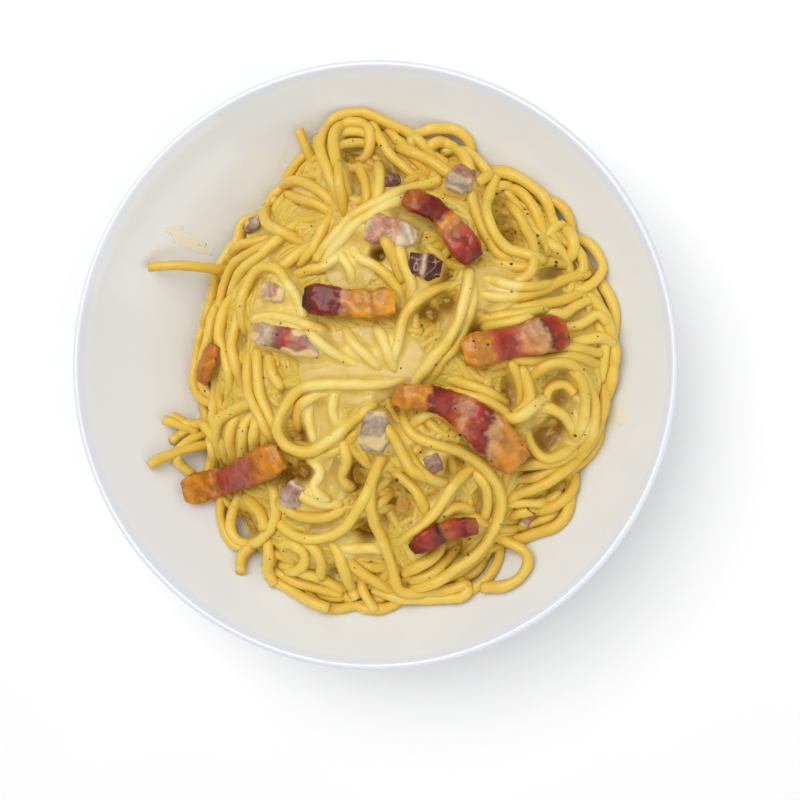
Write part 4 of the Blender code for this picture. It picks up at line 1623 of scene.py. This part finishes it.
BACON: tuple[MeatSlice, ...] = (
    MeatSlice("bacon_1", (1, 0), ((0.0, Tissue.CHAR), (0.16, Tissue.DARK_LEAN), (0.38, Tissue.DARK_LEAN),
                                  (0.43, Tissue.BLUSH), (0.52, Tissue.AMBER), (0.66, Tissue.GOLD),
                                  (0.76, Tissue.AMBER), (1.0, Tissue.GOLD)), notch=(0.74, 1.0)),
    MeatSlice("bacon_2", (1, -1), ((0.0, Tissue.BROWN), (0.16, Tissue.BROWN), (0.24, Tissue.DARK_LEAN),
                                   (0.42, Tissue.DARK_LEAN), (0.50, Tissue.AMBER), (0.60, Tissue.BLUSH),
                                   (0.68, Tissue.ROSE), (0.80, Tissue.LEAN), (1.0, Tissue.DARK_LEAN))),
    MeatSlice("bacon_3", (1, 0), ((0.0, Tissue.AMBER), (0.26, Tissue.AMBER), (0.32, Tissue.ROSE),
                                  (0.40, Tissue.LEAN), (0.52, Tissue.ROSE), (0.60, Tissue.BLUSH),
                                  (0.78, Tissue.PALE_FAT), (0.83, Tissue.DARK_LEAN), (0.92, Tissue.LEAN),
                                  (0.96, Tissue.BROWN)), slant=0.03),
    MeatSlice("bacon_4", (1, -1), ((0.0, Tissue.AMBER), (0.22, Tissue.AMBER), (0.26, Tissue.DARK_LEAN),
                                   (0.38, Tissue.LEAN), (0.44, Tissue.BROWN), (0.50, Tissue.BLUSH),
                                   (0.55, Tissue.ROSE), (0.60, Tissue.LEAN), (0.68, Tissue.DARK_LEAN),
                                   (0.73, Tissue.PALE_FAT), (0.80, Tissue.AMBER), (1.0, Tissue.AMBER)),
              slant=0.05),
    MeatSlice("bacon_5", (0, -1), ((0.0, Tissue.BROWN), (0.5, Tissue.AMBER), (1.0, Tissue.BROWN))),
    MeatSlice("bacon_6", (1, 0), ((0.0, Tissue.AMBER), (0.20, Tissue.AMBER), (0.27, Tissue.BLUSH),
                                  (0.34, Tissue.LEAN), (0.46, Tissue.LEAN), (0.54, Tissue.ROSE),
                                  (0.64, Tissue.ROSE), (0.72, Tissue.BROWN), (0.82, Tissue.AMBER),
                                  (1.0, Tissue.AMBER)), slant=-0.03),
    MeatSlice("bacon_7", (1, 0), ((0.0, Tissue.DARK_LEAN), (0.3, Tissue.LEAN), (0.48, Tissue.CHAR),
                                  (0.56, Tissue.BROWN), (0.68, Tissue.LEAN), (0.82, Tissue.DARK_LEAN),
                                  (1.0, Tissue.BROWN)), rim=Tissue.DARK_LEAN),
)

HAM: tuple[MeatSlice, ...] = (
    MeatSlice("ham_1", (1, 0), ((0.0, Tissue.HAM_CREAM), (0.12, Tissue.HAM_PINK), (0.62, Tissue.HAM_PINK),
                                (0.72, Tissue.HAM_CREAM), (1.0, Tissue.HAM_CREAM)),
              rim=Tissue.HAM_MAUVE, crinkle=0.2, veins=0.85),
    MeatSlice("ham_2", (0, -1), ((0.0, Tissue.HAM_MAUVE), (0.38, Tissue.HAM_PINK), (0.46, Tissue.HAM_CREAM),
                                 (0.72, Tissue.HAM_GREY), (1.0, Tissue.HAM_CREAM)),
              rim=Tissue.HAM_CREAM, veins=0.5),
    # ham_3 lies in shadow: its dark bands and rim are painted shade
    MeatSlice("ham_3", (1, 0), ((0.0, Tissue.HAM_DARK), (0.28, Tissue.HAM_DARK), (0.38, Tissue.HAM_MAUVE),
                                (0.48, Tissue.HAM_CREAM), (0.60, Tissue.HAM_DARK), (1.0, Tissue.HAM_DARK)),
              rim=Tissue.HAM_DARK, veins=0.6),
    MeatSlice("ham_4", (1, 0), ((0.0, Tissue.HAM_PINK), (0.22, Tissue.HAM_CREAM), (0.40, Tissue.HAM_MAUVE),
                                (0.52, Tissue.LEAN), (0.62, Tissue.HAM_PINK), (0.80, Tissue.HAM_MAUVE),
                                (1.0, Tissue.HAM_CREAM)), rim=Tissue.HAM_CREAM, crinkle=0.22, coat=0.35),
    MeatSlice("ham_5", (0, -1), ((0.0, Tissue.HAM_CREAM), (0.30, Tissue.HAM_GREY), (0.58, Tissue.HAM_GREY),
                                 (0.70, Tissue.HAM_CREAM), (1.0, Tissue.HAM_GREY)),
              rim=Tissue.HAM_GREY, veins=0.6, coat=0.25),
    MeatSlice("ham_6", (1, 1), ((0.0, Tissue.HAM_CREAM), (0.45, Tissue.HAM_GREY), (0.7, Tissue.HAM_MAUVE),
                                (1.0, Tissue.HAM_CREAM)), rim=Tissue.HAM_GREY, veins=0.8),
    # ham_7 darkens into painted shade towards its far end
    MeatSlice("ham_7", (1, 0), ((0.0, Tissue.HAM_MAUVE), (1.0, Tissue.HAM_DARK)),
              rim=Tissue.HAM_MAUVE, veins=0.4),
    MeatSlice("ham_8", (1, 0), ((0.0, Tissue.HAM_CREAM), (0.5, Tissue.HAM_PINK), (1.0, Tissue.HAM_CREAM)),
              rim=Tissue.HAM_CREAM, coat=0.45),
    MeatSlice("ham_9", (0, -1), ((0.0, Tissue.HAM_MAUVE), (0.6, Tissue.HAM_PINK), (1.0, Tissue.HAM_CREAM)),
              rim=Tissue.HAM_MAUVE),
    MeatSlice("ham_10", (0, -1), ((0.0, Tissue.HAM_GREY), (1.0, Tissue.HAM_MAUVE)), rim=Tissue.HAM_GREY),
    MeatSlice("ham_11", (1, 0), ((0.0, Tissue.HAM_MAUVE), (0.6, Tissue.HAM_GREY), (1.0, Tissue.HAM_CREAM)),
              rim=Tissue.HAM_GREY, coat=0.3),
)


# ------------------------------------------------------------------ bowl


@dataclass
class CoupeBowl:
    """The turned porcelain bowl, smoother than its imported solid."""

    finish: bpy.types.Material
    around: int = 224
    floor_radius: float = 30.0
    floor_height: float = 6.0
    wall_top_radius: float = 90.4
    wall_top_height: float = 45.6
    wall_curve: float = 1.8
    thick_low: float = 4.2
    thick_top: float = 2.4
    foot_radius: float = 42.0
    foot_inner_radius: float = 37.6
    foot_edge: float = 0.6
    underside: float = 2.4

    def inner(self, radius: float) -> float:
        """Height of the inner face."""
        rise = max(0.0, radius - self.floor_radius) / (self.wall_top_radius - self.floor_radius)
        return self.floor_height + (self.wall_top_height - self.floor_height) * rise**self.wall_curve

    def slope(self, radius: float) -> float:
        """Steepness of the inner face."""
        return (self.inner(radius + 0.01) - self.inner(radius - 0.01)) / 0.02

    def profile(self) -> list[Point]:
        """Radius and height from the inner floor over the lip to the underside."""
        inner = [(radius, self.inner(radius)) for radius in np.linspace(4.0, self.wall_top_radius, 34)]
        outer = []
        first = (self.foot_radius - self.floor_radius) / (self.wall_top_radius - self.floor_radius)
        for rise in np.linspace(1.0, first, 22):
            radius = self.floor_radius + (self.wall_top_radius - self.floor_radius) * rise
            slope = self.slope(radius)
            scale = (self.thick_low + (self.thick_top - self.thick_low) * rise) / math.hypot(1.0, slope)
            outer.append((radius + slope * scale, self.inner(radius) - scale))
        middle = ((inner[-1][0] + outer[0][0]) / 2, (inner[-1][1] + outer[0][1]) / 2)
        start = math.atan2(inner[-1][1] - middle[1], inner[-1][0] - middle[0])
        turns = [start - math.pi * t for t in np.linspace(0.1, 0.9, 9)]
        lip = [(middle[0] + self.thick_top / 2 * math.cos(turn),
                middle[1] + self.thick_top / 2 * math.sin(turn)) for turn in turns]
        edge = self.foot_edge
        foot = [(self.foot_radius, edge), (self.foot_radius - 0.3 * edge, 0.3 * edge),
                (self.foot_radius - edge, 0.0),
                (self.foot_inner_radius + edge, 0.0), (self.foot_inner_radius, edge),
                (self.foot_inner_radius - edge, self.underside), (4.0, self.underside)]
        return [*inner, *lip, *outer, *foot]

    def build(self) -> bpy.types.Object:
        """Turn the bowl, ring by ring."""
        profile = self.profile()
        deselect()
        bpy.ops.mesh.primitive_circle_add(vertices=self.around, radius=profile[0][0] * MM, fill_type="NGON",
                                          location=(0, 0, profile[0][1] * MM))
        bowl = bpy.context.active_object
        bowl.name = "coupe_bowl"
        settle(bowl)
        edit_all()
        bpy.ops.mesh.flip_normals()
        for (before, low), (after, high) in zip(profile, profile[1:]):
            bpy.ops.mesh.extrude_edges_move(TRANSFORM_OT_translate={"value": (0, 0, (high - low) * MM)})
            scale = after / before
            bpy.ops.transform.resize(value=(scale, scale, 1.0), center_override=(0.0, 0.0, 0.0))
        bpy.ops.mesh.edge_face_add()
        bpy.ops.mesh.select_all(action="SELECT")
        bpy.ops.mesh.remove_doubles(threshold=0.00001)
        close_up()
        LOG.info("coupe_bowl: %d faces", len(bowl.data.polygons))
        return dressed(bowl, self.finish, "porcelain", "bowl")


# ------------------------------------------------------------------ studio


@dataclass
class Studio:
    """Floor, light and camera."""

    distance: float = 0.320
    tilt: float = 8.0
    toward: float = -16.6
    aim_height: float = 0.046
    frame_width: float = 0.2419
    aim_right: float = -0.0454
    aim_up: float = 0.0481

    def build(self) -> None:
        """Set the stage."""
        scene = bpy.context.scene
        scene.view_settings.view_transform = "Standard"
        self._camera()
        self._floor()
        self._light("key", (-0.25, 0.30, 0.95), 0.75, 6.6)
        self._light("fill", (0.55, -0.45, 0.70), 0.9, 2.4)
        world = bpy.data.worlds.new("studio")
        world.use_nodes = True
        world.node_tree.nodes["Background"].inputs["Color"].default_value = rgb(1.0, 1.0, 1.0)
        world.node_tree.nodes["Background"].inputs["Strength"].default_value = 0.47
        scene.world = world

    def _camera(self) -> None:
        """Camera nearly straight above the bowl."""
        tilt, toward = math.radians(self.tilt), math.radians(self.toward)
        back = Vector((math.sin(tilt) * math.cos(toward), math.sin(tilt) * math.sin(toward), math.cos(tilt)))
        right = Vector((0.0, 1.0, 0.0)).cross(back).normalized()
        up = back.cross(right)
        data = bpy.data.cameras.new("camera")
        data.sensor_width = 36.0
        data.lens = 36.0 * self.distance / self.frame_width
        data.shift_x = -self.aim_right
        data.shift_y = -self.aim_up
        camera = bpy.data.objects.new("camera", data)
        bpy.context.scene.collection.objects.link(camera)
        place = Vector((0.0, 0.0, self.aim_height)) + back * self.distance
        camera.matrix_world = Matrix.Translation(place) @ Matrix((right, up, back)).transposed().to_4x4()
        bpy.context.scene.camera = camera

    def _floor(self) -> None:
        """A plain pale floor."""
        deselect()
        bpy.ops.mesh.primitive_plane_add(size=6.0)
        floor = bpy.context.active_object
        floor.name = "studio_floor"
        floor.data.materials.append(PALE_FLOOR.build())

    def _light(self, name: str, place: tuple[float, float, float], size: float, power: float) -> None:
        """A soft square lamp that points at the bowl.

        Args:
            name: The lamp's name.
            place: Where it hangs, in metres.
            size: Its side, in metres.
            power: Its power in watts.
        """
        data = bpy.data.lights.new(name, "AREA")
        data.energy = power
        data.size = size
        lamp = bpy.data.objects.new(name, data)
        lamp.location = place
        lamp.rotation_euler = (-Vector(place)).to_track_quat("-Z", "Y").to_euler()
        bpy.context.scene.collection.objects.link(lamp)


@dataclass
class Carbonara:
    """The whole dish: bowl, heap, meat, sauce and pepper."""

    bowl: CoupeBowl
    room_above_heap: float = 2.8
    room_above_ham: float = 2.2
    hidden_depth: float = 4.5
    hollow_slope: float = 1.6
    wall_room: float = 3.6
    form: HeapForm = field(init=False)
    drape: Drape = field(init=False)

    def __post_init__(self) -> None:
        """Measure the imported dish."""
        self.form = HeapForm()
        self.drape = Drape(self.form)

    def _hidden_ceiling(self) -> np.ndarray:
        """Height that the strands below stay under, with room for what lies on them and with the hollows."""
        places = self.drape.top.places()
        shape = self.drape.top.values.shape
        limit = self.form.crown.values - self.hidden_depth
        for x, y, radius in HOLLOWS:
            away = np.hypot(places[:, 0] - x, places[:, 1] - y).reshape(shape)
            rise = self.hollow_slope * np.clip(away - radius, 0.0, None)
            hollow = self.form.crown.values - HOLLOW_DEPTH - 4.0 + rise
            limit = np.minimum(limit, hollow)
        return np.maximum(limit, self.form.wall.values + self.wall_room)

    def build(self) -> None:
        """Make and register every piece."""
        self.bowl.build()
        pasta = SaucedPasta().build()
        under_bacon = self.form.under([piece.node for piece in BACON])
        under_ham = self.form.under([piece.node for piece in HAM])
        tubes = TubeMaker(self.form, pasta)
        heap = SpaghettiHeap(self.form, self.drape)
        self.drape.ceiling.values = np.minimum(self._hidden_ceiling(), np.minimum(under_bacon, under_ham))
        heap.lay_hidden()
        hidden_top = self.drape.top.copy()
        ham_tops = self.form.tops([piece.node for piece in HAM])
        self.drape.top.values = np.maximum(self.drape.top.values, ham_tops)
        loose = LooseStrands(self.bowl).build(tubes, self.drape)
        room = np.maximum(self.form.crown.values + self.room_above_heap, ham_tops + self.room_above_ham)
        self.drape.ceiling.values = np.minimum(room, under_bacon)
        heap.lay_shown()
        sauce = Sauce(self.form, self.drape, CreamSauce().build())
        surface = sauce.surface(hidden_top)
        pieces = [*loose, *heap.build(tubes, surface), sauce.build(surface), sauce.build_smears(self.bowl)]
        crisp = CuredMeat("crisp_bacon", 0.36, 0.35, 0.10).build()
        soft = CuredMeat("soft_ham", 0.42, 0.20, 0.05).build()
        pieces += [piece.build(crisp, "crisp_bacon") for piece in BACON]
        pieces += [piece.build(soft, "soft_ham") for piece in HAM]
        pieces.append(Pepper(self.form, self._outer(surface)).build())
        for piece in pieces:
            LOG.info("%s: %d faces", piece.name, len(piece.data.polygons))

    def _outer(self, surface: HeightField) -> HeightField:
        """The height of whatever lies uppermost."""
        tops = self.form.tops([piece.node for piece in (*BACON, *HAM)])
        return HeightField(values=np.maximum(np.maximum(self.drape.top.values, surface.values), tops))


def main() -> None:
    """Build the dish and its studio."""
    logging.basicConfig(level=logging.INFO, format="%(name)s: %(message)s")
    Studio().build()
    Carbonara(CoupeBowl(Porcelain().build())).build()


if __name__ == "__main__":
    main()
